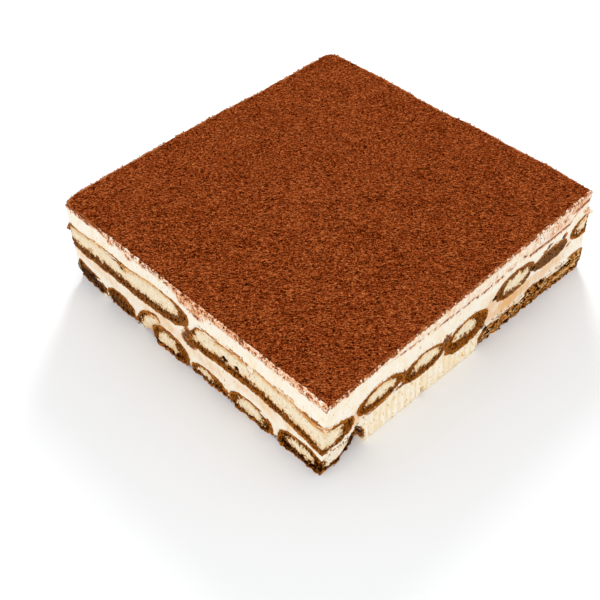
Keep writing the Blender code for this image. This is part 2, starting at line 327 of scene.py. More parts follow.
# Lower edge of the torn and dusted band under the rim, as (s, depth)
DUST_EDGE = {
    "front": (
        (0, 3.4), (22, 2.6), (45, 1.6), (58, 1.2), (74, 1), (86, 3.4), (92, 6.2), (102, 8.4),
        (107, 7.4), (111, 4), (128, 2.2), (150, 1.6), (190, 1.6),
    ),
    "right": (
        (0, 0.6), (30, 1.2), (44, 4.6), (60, 5.8), (84, 7.4), (108, 9.4), (134, 9.2), (141, 7),
        (150, 10.4), (168, 12.2), (187, 12), (192, 7), (203, 5.2),
    ),
    "back": ((0, 3), (40, 5), (80, 2.4), (120, 6), (160, 3), (190, 3)),
    "left": ((0, 3), (50, 2.4), (90, 6.2), (130, 3), (170, 4.4), (203, 3)),
}

# How dark the crack along that edge is, as (s, share)
CRACK = {
    "front": ((0, 0), (88, 0), (96, 0.5), (106, 0.6), (110, 0.1), (120, 0), (190, 0)),
    "right": (
        (0, 0), (42, 0), (48, 0.45), (62, 0.35), (78, 0.3), (84, 0.46), (132, 0.46), (139, 0.1),
        (148, 0.4), (152, 0.95), (184, 0.95), (189, 0.3), (193, 0.9), (203, 0.9),
    ),
    "back": ((0, 0.3), (190, 0.3)),
    "left": ((0, 0.3), (203, 0.3)),
}

# Thicker patches of cocoa on the sides, as patches
COCOA_SPOTS = {
    "front": (
        (9, 1, 13, 3, 0.28), (17.5, 2.2, 2, 1.6, 0.5), (102, 7, 5.5, 1.6, 0.62),
        (93, 4.4, 3, 2.6, 0.6), (103.5, 3.6, 3.5, 2.4, 0.56), (51.5, 4.4, 3, 1.6, 0.58),
        (37, 3, 2.4, 3, 0.5), (63.5, 2.2, 4.5, 1, 0.62),
    ),
    "right": (
        (193, 3.6, 12, 3.6, 0.3), (172, 6.5, 11, 4, 0.24), (195, 5.6, 9, 1.2, 0.9),
        (13, 1.6, 1.2, 1.6, 0.6), (180, 6.4, 2, 1.2, 0.62), (153, 2.6, 1.6, 1.2, 0.62),
        (56, 6, 1.4, 1, 0.6), (86, 7.6, 1.6, 0.9, 0.6),
    ),
}

# How far down the side cocoa is dragged, as (s, depth), and how much of it, as (s, share)
DRAG_DEPTH = {
    "front": (
        (0, 1.2), (15, 1.8), (24, 1.6), (32, 4.6), (50, 5.6), (58, 5), (68, 3.6), (76, 2), (86, 3),
        (94, 7.4), (104, 8.8), (110, 5.4), (124, 4.4), (165, 4), (175, 5.2), (190, 5),
    ),
    "right": ((0, 1.6), (12, 3), (22, 1.2), (28, 2.4), (40, 1.4), (170, 1.6), (203, 3)),
    "back": ((0, 2), (60, 3), (120, 1.4), (190, 2)),
    "left": ((0, 1.6), (60, 1.2), (130, 2.8), (203, 1.6)),
}
DRAG_SHARE = {
    "front": (
        (0, 0.46), (26, 0.42), (32, 0.5), (60, 0.5), (72, 0.46), (80, 0.46), (92, 0.6), (104, 0.62),
        (112, 0.76), (190, 0.76),
    ),
    "right": ((0, 0.44), (30, 0.4), (150, 0.36), (180, 0.42), (203, 0.5)),
    "back": ((0, 0.6), (190, 0.6)),
    "left": ((0, 0.6), (203, 0.6)),
}

# How far in from the side the cocoa is torn away, as (s, mm), and how white the torn cream is
BARE = {
    "front": (
        (0, 0.7), (24, 0.5), (30, 0.5), (45, 0.8), (60, 0.9), (90, 0.8), (112, 1.2), (165, 1.3),
        (175, 1.8), (190, 1.6),
    ),
    "right": ((0, 0.5), (18, 0.3), (50, 0.1), (140, 0.1), (165, 0.1), (180, 0.4), (203, 0.6)),
    "back": ((0, 0.5), (12, -0.1), (190, -0.1)),
    "left": ((0, -0.1), (203, -0.1)),
}
TORN = {
    "front": ((0, 0.1), (24, 0.2), (32, 0.8), (80, 0.9), (95, 0.7), (112, 0.8), (190, 0.85)),
    "right": ((0, 0.5), (20, 0.34), (150, 0.34), (180, 0.5), (203, 0.7)),
    "back": ((0, 0.5), (14, 0.12), (190, 0.12)),
    "left": ((0, 0.12), (203, 0.12)),
}

# The foot of cream on the right side: where it starts and ends, its top, how far apart its ribs
# are, and the notch in it, as (s, half width, top, how deep)
FOOT = (27.0, 113.0)
FOOT_TOP = 33.0
RIB_PITCH = 4.2
NOTCH = (69.0, 1.6, 47.0, 2.4)

# How far from the cut the food is still moved by the swells
SWELL_REACH = 12.0
# The range in which the place above or below the dusted band is told to the material
BAND_RANGE = (-4, 8)
# How far the cream stands back from the wall, and how far its lower hem draws in over the floor,
# on the foot and elsewhere
CREAM_BACK = 0.22
FOOT_HEM = 1.4
CREAM_HEM = 2.6


def patches(table, side, s, depth, soft=0.7):
    """How much the patches of a table cover a place."""
    most = 0.0
    for at, down, wide, high, much in table.get(side.name, ()):
        if abs(s - at) < 2 * wide:
            away = math.hypot((s - at) / wide, (depth - down) / high)
            most = max(most, much * smooth(1.0 + soft / 2 - away, 0.0, soft))
    return most


def swell(side, s, depth, out):
    """How far a place in the food is moved up and along the side, in mm."""
    up, aside = 0.0, 0.0
    near_cut = smooth(SWELL_REACH - abs(out), 0.0, SWELL_REACH / 2)
    if near_cut:
        for at, down, wide, high, lift, push in SWELLS.get(side.name, ()):
            away = math.hypot((s - at) / wide, (depth - down) / high)
            weight = near_cut * smooth(1.4 - away, 0.0, 1.0)
            up += weight * lift
            aside += weight * push
    return up, aside


def swollen(co):
    """Where a point of the food goes once the swells have moved it."""
    side, s, depth, out = side_of(co)
    up, aside = swell(side, s, depth, out)
    return co + (UP * up + side.along * aside) * MM


def dust_edge(side, s):
    """The ragged lower edge of the dusted band, as a depth."""
    return along(DUST_EDGE[side.name], s) + 0.4 * grain(s, 0, 3.0, 21) + 0.3 * grain(s, 0, 1.3, 22)


def band(side, s, depth):
    """How far above the edge of the dusted band a place lies, in mm, as the material reads it."""
    return clamp(dust_edge(side, s) - depth, *BAND_RANGE)


def drag(side, s, depth):
    """How much of the place is covered with dragged cocoa."""
    reach = along(DRAG_DEPTH[side.name], s) + 0.8 * grain(s, 0, 2.2, 23)
    dragged = along(DRAG_SHARE[side.name], s) * smooth(reach - depth, 0.0, max(reach, 1.0))
    return max(dragged, patches(COCOA_SPOTS, side, s, depth, 1.0))


def hole(side, s, depth):
    """How deep the small holes go at this place."""
    deep = 0.0
    for at, down, radius, far in HOLES[side.name]:
        if abs(s - at) < 4:
            away = math.hypot((s - at) * 0.8, depth - down) / radius
            away += 0.4 * grain(s, depth, 0.9, 3)
            deep = max(deep, far * smooth(1.3 - away, 0.0, 0.6))
    return deep


def foot_relief(side, s, depth):
    """The ribs and the notch of the cream that reaches the floor, in mm outwards."""
    if side.name != "right":
        return 0.0
    here = smooth(s, FOOT[0] - 1, FOOT[0] + 2) * smooth(FOOT[1] - s, -1, 2)
    here *= smooth(depth, FOOT_TOP, FOOT_TOP + 4)
    sway = 1.1 * grain(s, depth * 0.3, 7.0, 24)
    rib = math.cos((s + sway) / RIB_PITCH * math.tau)
    ribs = 0.34 * rib + 0.28 * grain(s, depth * 0.12, 1.3, 25)
    at, wide, top, deep = NOTCH
    away = abs(s - at - 0.2 * (depth - top)) / wide
    notch = deep * smooth(1.3 - away, 0, 0.8) * smooth(depth, top, top + 3)
    return here * (ribs - notch)


def foot_warmth_and_rib_shade(side, s, depth):
    """How warm the foot of cream is, with painted shade in the hollows between its ribs."""
    if side.name != "right" or not FOOT[0] < s < FOOT[1]:
        return 0.0
    return smooth(depth, FOOT_TOP - 2, FOOT_TOP + 3) * (0.75 - 1.2 * foot_relief(side, s, depth))


def cream_relief(side, s, depth):
    """How far the cream stands out of the cut: soft waves, knife marks, and the torn rim."""
    turn = len(side.name)
    wave = 0.14 * grain(s, depth, 9.0, turn) + 0.06 * grain(s, depth, 2.2, turn + 1)
    marks = 0.10 * grain(s, depth * 0.14, 1.1, turn + 2)
    pits = -0.4 * smooth(grain(s, depth, 1.3, turn + 3), 0.46, 0.62)
    edge = dust_edge(side, s)
    above = smooth(edge - depth, -0.25, 0.35) * smooth(edge, 2.0, 4.0)
    torn = 0.25 + 0.25 * grain(s, depth, 1.6, turn + 4)
    crack = -0.7 * along(CRACK[side.name], s) * smooth(0.6 - abs(depth - edge), 0.0, 0.5)
    crumbs = 0.3 * patches(STAINS, side, s, depth) * (1 + grain(s, depth, 1.4, turn + 9))
    on_foot = side.name == "right" and FOOT[0] < s < FOOT[1]
    hem = FOOT_HEM if on_foot else CREAM_HEM
    hem = hem * smooth(depth, 49.5 + 1.8 * grain(s, 0, 2.0, 26), HIGH)
    relief = wave + marks + pits + above * torn + crack + crumbs - hem
    return relief + foot_relief(side, s, depth) - CREAM_BACK - hole(side, s, depth)


def crumb_relief(side, s, depth):
    """How far the sponge stands out of the cut: crumb, pores and tears."""
    turn = len(side.name)
    coarse = 0.30 * grain(s, depth * 1.2, 2.4, turn + 5)
    fine = 0.24 * grain(s, depth * 0.8, 1.1, turn + 6)
    pores = -0.9 * smooth(grain(s, depth * 0.8, 1.5, turn + 7), 0.36, 0.6)
    foot = (along(TOES[side.name], s) + 0.9 * grain(s, 0, 2.4, 27)) * smooth(depth, 46.0, 53.0)
    rough = 0.1 + coarse + fine + pores + foot
    spread = 0.25 + 0.12 * grain(s, depth, 4.0, 28)
    cover = patches(SMEARS, side, s, depth)
    return rough * (1 - cover) + spread * cover - hole(side, s, depth)


# How far the two hidden sides stand out at the top, as (s, mm)
LEAN = {
    "back": (
        (0, 0.8), (7, 1), (19, 2.3), (31, 2.9), (47, 2.3), (64, 2.6), (86, 2.9), (98, 1.5),
        (111, 1.2), (120, 1.4), (131, 2.8), (160, 2.8), (190, 2.6),
    ),
    "left": (
        (0, 3.4), (15, 3.9), (50, 3.3), (62, 3.4), (75, 4.2), (100, 5.1), (165, 5.1), (185, 5.2),
        (193, 4.8), (198, 3.9), (203, 1),
    ),
}
# How far into the block that reaches, how much higher the top is at the far corner, and how round
# that corner is
LEAN_REACH = 30.0
REAR_RISE = 0.5
FAR_CORNER = 8.0


def lean_out(mesh):
    """Moves the hidden sides out and the rear up, most at the top, and rounds the far corner."""
    flat = np.empty(len(mesh.vertices) * 3, np.float32)
    mesh.vertices.foreach_get("co", flat)
    x, y, z = flat.reshape(-1, 3).T.astype(float) / MM
    from_left, from_back = WIDE / 2 + x, LONG / 2 - y
    tall = np.clip(z / HIGH, 0, 1.1)
    near_left = np.clip(1 - from_left / FAR_CORNER, 0, 1.3)
    near_back = np.clip(1 - from_back / FAR_CORNER, 0, 1.3)
    x = x + FAR_CORNER * near_left * (1 - np.sqrt(1 - near_back * near_back / 2))
    y = y - FAR_CORNER * near_back * (1 - np.sqrt(1 - near_left * near_left / 2))
    left = np.interp(from_back, *zip(*LEAN["left"]))
    left = left * np.clip(1 - from_left / LEAN_REACH, 0, 1)
    back = np.interp(WIDE - from_left, *zip(*LEAN["back"]))
    back = back * np.clip(1 - from_back / LEAN_REACH, 0, 1)
    # 0 over the front half, and 1 near the far corner
    rear = np.clip(((WIDE - from_left) / WIDE + (LONG - from_back) / LONG) / 0.6 - 1.5, 0, 1)
    rise = REAR_RISE * rear * rear * (3 - 2 * rear)
    moved = np.stack([x - left * tall, y + back * tall, z + rise * tall], 1)
    mesh.vertices.foreach_set("co", (moved * MM).astype(np.float32).ravel())
    mesh.update()


# Meshes

# Edges sharper than this stay sharp
SHARP = math.radians(65)


def placed(name, data):
    """A new object of the scene: a mesh, a lamp or a camera."""
    obj = bpy.data.objects.new(name, data)
    bpy.context.scene.collection.objects.link(obj)
    return obj


def object_from(bm, name):
    """Ends the work on a mesh and makes it an object."""
    mesh = bpy.data.meshes.new(name)
    bm.to_mesh(mesh)
    bm.free()
    return placed(name, mesh)


def drawn_out(bm, edges):
    """Extrudes a row of edges, and gives the new vertices."""
    grown = bmesh.ops.extrude_edge_only(bm, edges=list(edges))["geom"]
    return [g for g in grown if isinstance(g, bmesh.types.BMVert)]


def close_up(bm, place):
    """Draws the open edge of a sheet out to where place says, and closes it there."""
    for vert in drawn_out(bm, [e for e in bm.edges if e.is_boundary]):
        vert.co = place(vert.co)
    bmesh.ops.edgeloop_fill(bm, edges=[e for e in bm.edges if e.is_boundary])
    bmesh.ops.recalc_face_normals(bm, faces=bm.faces)


def cut_back(obj, sides, plates):
    """Cuts a piece back to the cut sides that it reaches, and keeps its main body."""
    for side in sides:
        step = obj.modifiers.new("cut", "BOOLEAN")
        step.operation = "DIFFERENCE"
        step.solver = "MANIFOLD"
        step.object = plates[side.name]
    apply(obj)
    keep_biggest(obj)


def apply(obj):
    """Makes the modified mesh the object's own."""
    bpy.context.view_layer.update()
    graph = bpy.context.evaluated_depsgraph_get()
    mesh = bpy.data.meshes.new_from_object(obj.evaluated_get(graph))
    mesh.name = obj.name
    obj.modifiers.clear()
    obj.data = mesh


def keep_biggest(obj):
    """Drops the slivers that a cut leaves beside the main body."""
    bm = bmesh.new()
    bm.from_mesh(obj.data)
    unseen = set(bm.verts)
    groups = []
    while unseen:
        stack = [unseen.pop()]
        group = []
        while stack:
            vert = stack.pop()
            group.append(vert)
            for edge in vert.link_edges:
                other = edge.other_vert(vert)
                if other in unseen:
                    unseen.remove(other)
                    stack.append(other)
        groups.append(group)
    groups.sort(key=len)
    bmesh.ops.delete(bm, geom=[v for group in groups[:-1] for v in group], context="VERTS")
    bm.to_mesh(obj.data)
    bm.free()


def attributes(mesh, columns):
    """Gives each vertex its values, as attributes with these names."""
    for name, values in columns.items():
        made = mesh.attributes.new(name, "FLOAT", "POINT")
        made.data.foreach_set("value", np.asarray(values, np.float32))


def finish(obj, look, slot, *replaced):
    """Gives a piece its finish and its body, and hides the CAD nodes that it stands for."""
    lean_out(obj.data)
    obj.data.polygons.foreach_set("use_smooth", [True] * len(obj.data.polygons))
    obj.data.set_sharp_from_angle(angle=SHARP)
    obj.data.materials.clear()
    obj.data.materials.append(look)
    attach(obj, "root")
    if replaced:
        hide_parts(*replaced)


def mesh_bvh(*meshes):
    """One search tree over several meshes."""
    points, faces = [], []
    for mesh in meshes:
        start = len(points)
        points += [v.co.copy() for v in mesh.vertices]
        faces += [[start + i for i in p.vertices] for p in mesh.polygons]
    return BVHTree.FromPolygons(points, faces)


def filtered(values, pick, reach):
    """The largest or smallest neighbour of each value of a grid, reach times over."""
    for _ in range(reach):
        padded = np.pad(values, 1, mode="edge")
        rows, columns = values.shape
        near = [padded[i : i + rows, j : j + columns] for i in range(3) for j in range(3)]
        values = pick.reduce(near)
    return values


# The walls of the cut sides, in mm: how far their grids reach past the side, how far out the slabs
# in front of them go, how far in from there a wall is looked for, and how near the top and floor
MARGIN = 6.0
PLATE_BACK = 14.0
LOOK_IN = 30.0
LOOK_EDGE = 0.1
# Hollows deeper than this are bridged, in rows with enough other places, and narrow grooves filled
DEEPEST = -13.0
ENOUGH = 20
GROOVE = 0.8
# How far the pieces are stretched out past the cut, and which faces are moved for that: how near
# the cut they lie, and how squarely they face it. Before that, points this close are merged.
EXTEND = 5.0
ON_WALL = 4.5
FACING = 0.8
MERGED = 0.01


class Wall:
    """How far out each place of a cut side stands in the part, on a grid."""

    def __init__(self, side, tree, step):
        self.side = side
        columns = int((side.length + 2 * MARGIN) / step)
        rows = int((HIGH + 2 * MARGIN) / step)
        self.s = np.linspace(-MARGIN, side.length + MARGIN, columns)
        self.depth = np.linspace(-MARGIN, HIGH + MARGIN, rows)
        out = np.full((len(self.depth), len(self.s)), np.nan)
        for i, depth in enumerate(self.depth):
            if not LOOK_EDGE < depth < HIGH - LOOK_EDGE:
                continue
            for j, s in enumerate(self.s):
                start = side.point(s, depth, PLATE_BACK)
                found = tree.ray_cast(start, -side.outward, LOOK_IN * MM)
                if found[0] is not None:
                    out[i, j] = PLATE_BACK - found[3] / MM
        for i in range(len(out)):
            known = ~np.isnan(out[i]) & (out[i] > DEEPEST)
            if known.sum() > ENOUGH:
                out[i] = np.interp(self.s, self.s[known], out[i][known])
            else:
                out[i] = np.nan
        whole = [i for i in range(len(out)) if not np.isnan(out[i]).any()]
        for i in range(len(out)):
            out[i] = out[min(whole, key=lambda row: abs(row - i))]
        reach = max(1, round(GROOVE / step))
        self.out = filtered(filtered(out, np.maximum, reach), np.minimum, reach)

    def stands(self, s, depth):
        """How far out the wall stands at a place."""
        i = int(clamp(np.searchsorted(self.depth, depth), 0, len(self.depth) - 1))
        return float(np.interp(s, self.s, self.out[i]))

    def plate(self, name, relief):
        """A slab outside the cut whose inner face is the wall with this relief."""
        side, rows, columns = self.side, len(self.depth), len(self.s)
        bm = bmesh.new()
        bmesh.ops.create_grid(bm, x_segments=columns - 1, y_segments=rows - 1, size=0.5)
        for vert in bm.verts:
            j = round((vert.co.x + 0.5) * (columns - 1))
            i = round((0.5 - vert.co.y) * (rows - 1))
            s, depth = self.s[j], self.depth[i]
            vert.co = side.point(s, depth, self.out[i, j] + relief(side, s, depth))
        close_up(bm, lambda co: side.point(*side.read(co)[:2], PLATE_BACK))
        return object_from(bm, name)


def extended(node, name):
    """A copy of a CAD node that reaches out past the cuts, and the sides that it reaches."""
    bm = bmesh.new()
    bm.from_mesh(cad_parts[node].data)
    bmesh.ops.remove_doubles(bm, verts=bm.verts, dist=MERGED * MM)
    bm.normal_update()
    touched = []
    for side in SIDES.values():
        moving = set()
        for face in bm.faces:
            if face.normal.dot(side.outward) > FACING:
                if side.read(face.calc_center_median())[2] > -ON_WALL:
                    moving |= set(face.verts)
        if moving:
            touched.append(side)
            bmesh.ops.translate(bm, verts=list(moving), vec=side.outward * EXTEND * MM)
    return object_from(bm, name), touched


# Materials


class Level:
    """A value or a colour of a shader. Arithmetic on it adds the nodes that work it out."""

    def __init__(self, maker, socket):
        self.maker = maker
        self.socket = socket

    def __add__(self, other):
        return self.maker.math("ADD", self, other)

    def __sub__(self, other):
        return self.maker.math("SUBTRACT", self, other)

    def __rsub__(self, other):
        return self.maker.math("SUBTRACT", other, self)

    def __mul__(self, other):
        return self.maker.math("MULTIPLY", self, other)

    def __truediv__(self, other):
        return self.maker.math("DIVIDE", self, other)

    def __rtruediv__(self, other):
        return self.maker.math("DIVIDE", other, self)

    def __abs__(self):
        return self.maker.math("ABSOLUTE", self)

    def over(self, other):
        """The larger of two values."""
        return self.maker.math("MAXIMUM", self, other)

    def step(self, low, high):
        """0 at low and 1 at high, soft between."""
        made = self.maker.node("ShaderNodeMapRange", From_Min=low, From_Max=high, Value=self)
        made.interpolation_type = "SMOOTHSTEP"
        return Level(self.maker, made.outputs["Result"])

    def ragged(self, grain, spread, low, high):
        """The same step, with its edge frayed by a grain."""
        values = {"Value": self, "Grain": grain, "Spread": spread, "Low": low, "High": high}
        return self.maker.group("ragged_edge", **values)


class Maker:
    """Adds nodes to a material or a group, and links them."""

    def __init__(self, tree):
        self.tree = tree

    def feed(self, socket, value):
        """Links a level to a socket, or sets a plain value there."""
        if isinstance(value, Level):
            self.tree.links.new(value.socket, socket)
        else:
            socket.default_value = value

    def node(self, kind, **inputs):
        """A new node with these inputs, whose names have _ for a space."""
        made = self.tree.nodes.new(kind)
        for name, value in inputs.items():
            self.feed(made.inputs[name.replace("_", " ")], value)
        return made

    def group(self, kind, **inputs):
        """What a node group puts out for these inputs."""
        made = self.tree.nodes.new("ShaderNodeGroup")
        made.node_tree = bpy.data.node_groups[kind]
        for name, value in inputs.items():
            self.feed(made.inputs[name], value)
        return Level(self, made.outputs[0])

    def math(self, operation, a, b=0.0):
        made = self.tree.nodes.new("ShaderNodeMath")
        made.operation = operation
        self.feed(made.inputs[0], a)
        self.feed(made.inputs[1], b)
        return Level(self, made.outputs[0])

    def mix(self, share, a, b):
        """Colour a where the share is 0, and b where it is 1."""
        made = self.tree.nodes.new("ShaderNodeMix")
        made.data_type = "RGBA"
        self.feed(made.inputs[0], share)
        self.feed(made.inputs[6], a if isinstance(a, Level) else linear(a))
        self.feed(made.inputs[7], b if isinstance(b, Level) else linear(b))
        return Level(self, made.outputs[2])

    def grain(self, size, upright=1.0, diagonal=1.0, detail=2.0, shift=0.0):
        """Grains of this size in mm, stretched, and shifted to another pattern."""
        shape = {"Size": size, "Upright": upright, "Diagonal": diagonal}
        return self.group("food_grain", Detail=detail, Shift=shift, **shape)

    def read(self, name):
        """The value that the mesh has here under this name."""
        made = self.tree.nodes.new("ShaderNodeAttribute")
        made.attribute_name = name
        return Level(self, made.outputs["Fac"])

    def bump(self, shader, height, strength, distance):
        made = self.node("ShaderNodeBump", Height=height, Strength=strength, Distance=distance)
        self.tree.links.new(made.outputs["Normal"], shader.inputs["Normal"])


def new_group(name, inputs, output):
    """An empty node group with these number inputs and this one output."""
    tree = bpy.data.node_groups.new(name, "ShaderNodeTree")
    for label, value in inputs.items():
        socket = tree.interface.new_socket(label, in_out="INPUT", socket_type="NodeSocketFloat")
        socket.default_value = value
    tree.interface.new_socket(output, in_out="OUTPUT", socket_type="NodeSocketFloat")
    maker = Maker(tree)
    sockets = tree.nodes.new("NodeGroupInput").outputs
    given = {label: Level(maker, sockets[label]) for label in inputs}
    return maker, given, tree.nodes.new("NodeGroupOutput").inputs[output]


def food_grain_group():
    """Noise about 0, mostly from -1 to 1, whose grains have a size in mm and can be stretched:
    upright, or level along the diagonal from the front left corner of the part."""
    inputs = {"Size": 1.0, "Upright": 1.0, "Diagonal": 1.0, "Detail": 2.0, "Shift": 0.0}
    maker, given, result = new_group("food_grain", inputs, "Grain")
    where = maker.node("ShaderNodeTexCoord").outputs["Object"]
    parts = maker.node("ShaderNodeSeparateXYZ", Vector=Level(maker, where))
    x, y, z = [Level(maker, socket) for socket in parts.outputs]
    per_size = (1 / MM) / given["Size"]
    place = maker.node(
        "ShaderNodeCombineXYZ",
        X=(x - y) * math.sqrt(0.5) * per_size + given["Shift"],
        Y=(x + y) * math.sqrt(0.5) * (per_size / given["Diagonal"]),
        Z=z * (per_size / given["Upright"]),
    )
    vector = Level(maker, place.outputs[0])
    made = maker.node("ShaderNodeTexNoise", Vector=vector, Scale=1.0, Detail=given["Detail"])
    maker.feed(result, (Level(maker, made.outputs["Fac"]) - 0.5) * NOISE_GAIN)


def ragged_edge_group():
    """A mask whose edge, where a value passes from low to high, is frayed by a grain."""
    inputs = {"Value": 0.0, "Grain": 0.0, "Spread": 1.0, "Low": 0.0, "High": 1.0}
    maker, given, result = new_group("ragged_edge", inputs, "Mask")
    frayed = given["Value"] + given["Grain"] * given["Spread"]
    maker.feed(result, frayed.step(given["Low"], given["High"]))


def shader_of(name, roughness, specular):
    made = bpy.data.materials.new(name)
    made.use_nodes = True
    shader = made.node_tree.nodes["Principled BSDF"]
    shader.inputs["Roughness"].default_value = roughness
    shader.inputs["Specular IOR Level"].default_value = specular
    shader.inputs["Metallic"].default_value = 0
    return made, Maker(made.node_tree), shader


def cocoa_material():
    made, maker, shader = shader_of("cocoa_powder", 1.0, 0.0)
    fine = maker.grain(0.5, detail=1.0, diagonal=1.7)
    dashes = maker.grain(0.75, detail=0.6, diagonal=2.6, shift=11.0)
    clouds = maker.grain(16.0, shift=4.0)
    level = maker.read("level") * 0.25 + fine * 1.05 + dashes * 0.58 + clouds * 0.1
    # Painted shade in the pits and painted highlight on the clumps of the grains, from the height
    # and the grain that the bump also uses
    dark = maker.mix(level.step(-1.1, 0.12), COCOA_PIT_SHADE, COCOA_MID)
    colour = maker.mix(level.step(0.05, 1.3), dark, COCOA_CLUMP_HIGHLIGHT)
    thin = maker.read("thin").ragged(maker.grain(1.2, shift=5.0), 0.15, 0.05, 0.5)
    colour = maker.mix(thin * 0.8, colour, COCOA_THIN)
    maker.feed(shader.inputs["Base Color"], colour)
    maker.bump(shader, fine + dashes, 1.0, 0.0004)
    return made


def cream_material():
    made, maker, shader = shader_of("mascarpone_cream", 0.5, 0.1)
    mocha, band, crack, drag, stain, pit, foot = map(maker.read, CREAM_LOOKS)
    soft = maker.grain(6.0, upright=1.6)
    blotch = maker.grain(2.2, shift=3.0)
    speck = maker.grain(0.9, upright=1.6, shift=7.0)
    streak = maker.grain(1.1, upright=3.0, shift=5.0)
    # The foot value warms the cream and paints shade into the hollows between the ribs of the foot
    warm = soft * 0.4 + streak * 0.25 + foot * 0.55
    colour = maker.mix(warm.step(-0.3, 0.9), CREAM_IVORY, CREAM_WARM)
    spots = (foot * 0.62).ragged(speck + streak, 0.8, 0.95, 1.5)
    colour = maker.mix(spots, colour, CREAM_SPOT)
    coffee = mocha + mocha * soft * 0.35
    colour = maker.mix(coffee.ragged(streak, 0.08, 0.0, 1.15), colour, CREAM_MOCHA)
    dusted = band.ragged(blotch, 0.5, -0.3, 0.8) * blotch.step(-0.7, 1.5)
    colour = maker.mix(dusted, colour, CREAM_DUSTED)
    knots = maker.grain(1.7, shift=12.0).step(0.1, 0.9)
    away = abs(band + blotch * 0.3) - knots * 0.8
    broken = crack.ragged(maker.grain(2.6, shift=2.0), 0.45, 0.25, 0.55)
    flecks = band.step(0.2, 1.5) * crack.ragged(speck, 1.0, 1.5, 1.85)
    mottle = streak + speck * 0.8
    # On the curls of the rim, drag is also the warm shade painted round their lower halves
    faint = drag.ragged(mottle, 0.3, 0.06, 0.34) * drag.step(0.03, 0.22)
    colour = maker.mix(faint * 0.85, colour, DRAG_HALO)
    brown = maker.mix(speck.step(-0.3, 1.0), DRAG_BROWN, DRAG_RED)
    colour = maker.mix(drag.ragged(mottle, 0.36, 0.5, 0.68), colour, brown)
    colour = maker.mix(away.step(2.3, 0.8) * broken * 0.8, colour, CRACK_HALO)
    colour = maker.mix((away.step(0.9, 0.35) * broken).over(flecks), colour, CRACK_BROWN)
    torn = speck + blotch
    around = stain.ragged(torn, 0.3, 0.26, 0.5) * stain.step(0.04, 0.3)
    colour = maker.mix(around * 0.7, colour, STAIN_HALO)
    crumb = maker.mix(blotch.step(0.0, 0.9), SOAKED_MID, SOAKED_AMBER)
    crumb = maker.mix(speck.step(0.5, -0.7) * stain.step(0.7, 0.95), crumb, SOAKED_DARK)
    colour = maker.mix(stain.ragged(torn, 0.3, 0.42, 0.62), colour, crumb)
    # Painted shade inside the holes
    colour = maker.mix(pit.step(0.12, 0.45), colour, HOLE_SHADE)
    maker.feed(shader.inputs["Base Color"], colour)
    maker.bump(shader, maker.grain(0.9, detail=3.0), 0.12, 0.0003)
    return made


def pale_crumb(maker, fine, crumb, golden, burnt):
    """The dry crumb: pale, with darker grain and pores, and golden where it is told."""
    colour = maker.mix((fine + crumb * 0.5).step(0.3, 1.4), CRUMB_PALE, CRUMB_SHADE)
    colour = maker.mix((crumb + burnt * 0.6).step(1.0, 1.35), colour, CRUMB_PORE)
    return maker.mix(golden, colour, CRUMB_GOLD)


def soaked_crumb(maker, fine, crumb, patch, soak, looks):
    """The crumb full of coffee: brown to black, amber at its skin, with tan flecks."""
    skin, burnt, torn, grey = looks
    whole = 1.0 - torn * 0.65
    slabs = maker.grain(4.2, upright=0.42, detail=1.5, shift=15.0)
    lit = (fine + crumb) * 1.3 * whole - burnt
    colour = maker.mix(lit.step(-0.9, 0.2), SOAKED_DARK, SOAKED_MID)
    glow = fine * whole + slabs * torn + patch
    amber = glow.step(-0.1, 0.9) * skin.step(3.5, 0.3).over(torn * 0.8)
    colour = maker.mix(amber, colour, SOAKED_AMBER)
    seam = soak.step(3.2, 1.6) * soak.step(0.0, 0.9) * lit.step(0.35, -0.45)
    colour = maker.mix(seam * 0.85, colour, SOAKED_DARK)
    flecks = (crumb + fine * -0.6 + grey * 0.45).step(0.7, 1.25) * whole
    colour = maker.mix(flecks * 0.75, colour, SOAKED_TAN)
    colour = maker.mix((slabs + fine * 0.2).step(0.15, -0.35) * torn, colour, SOAKED_DARK)
    return maker.mix(grey * (patch + crumb).step(-0.8, 0.6), colour, SOAKED_GREY)


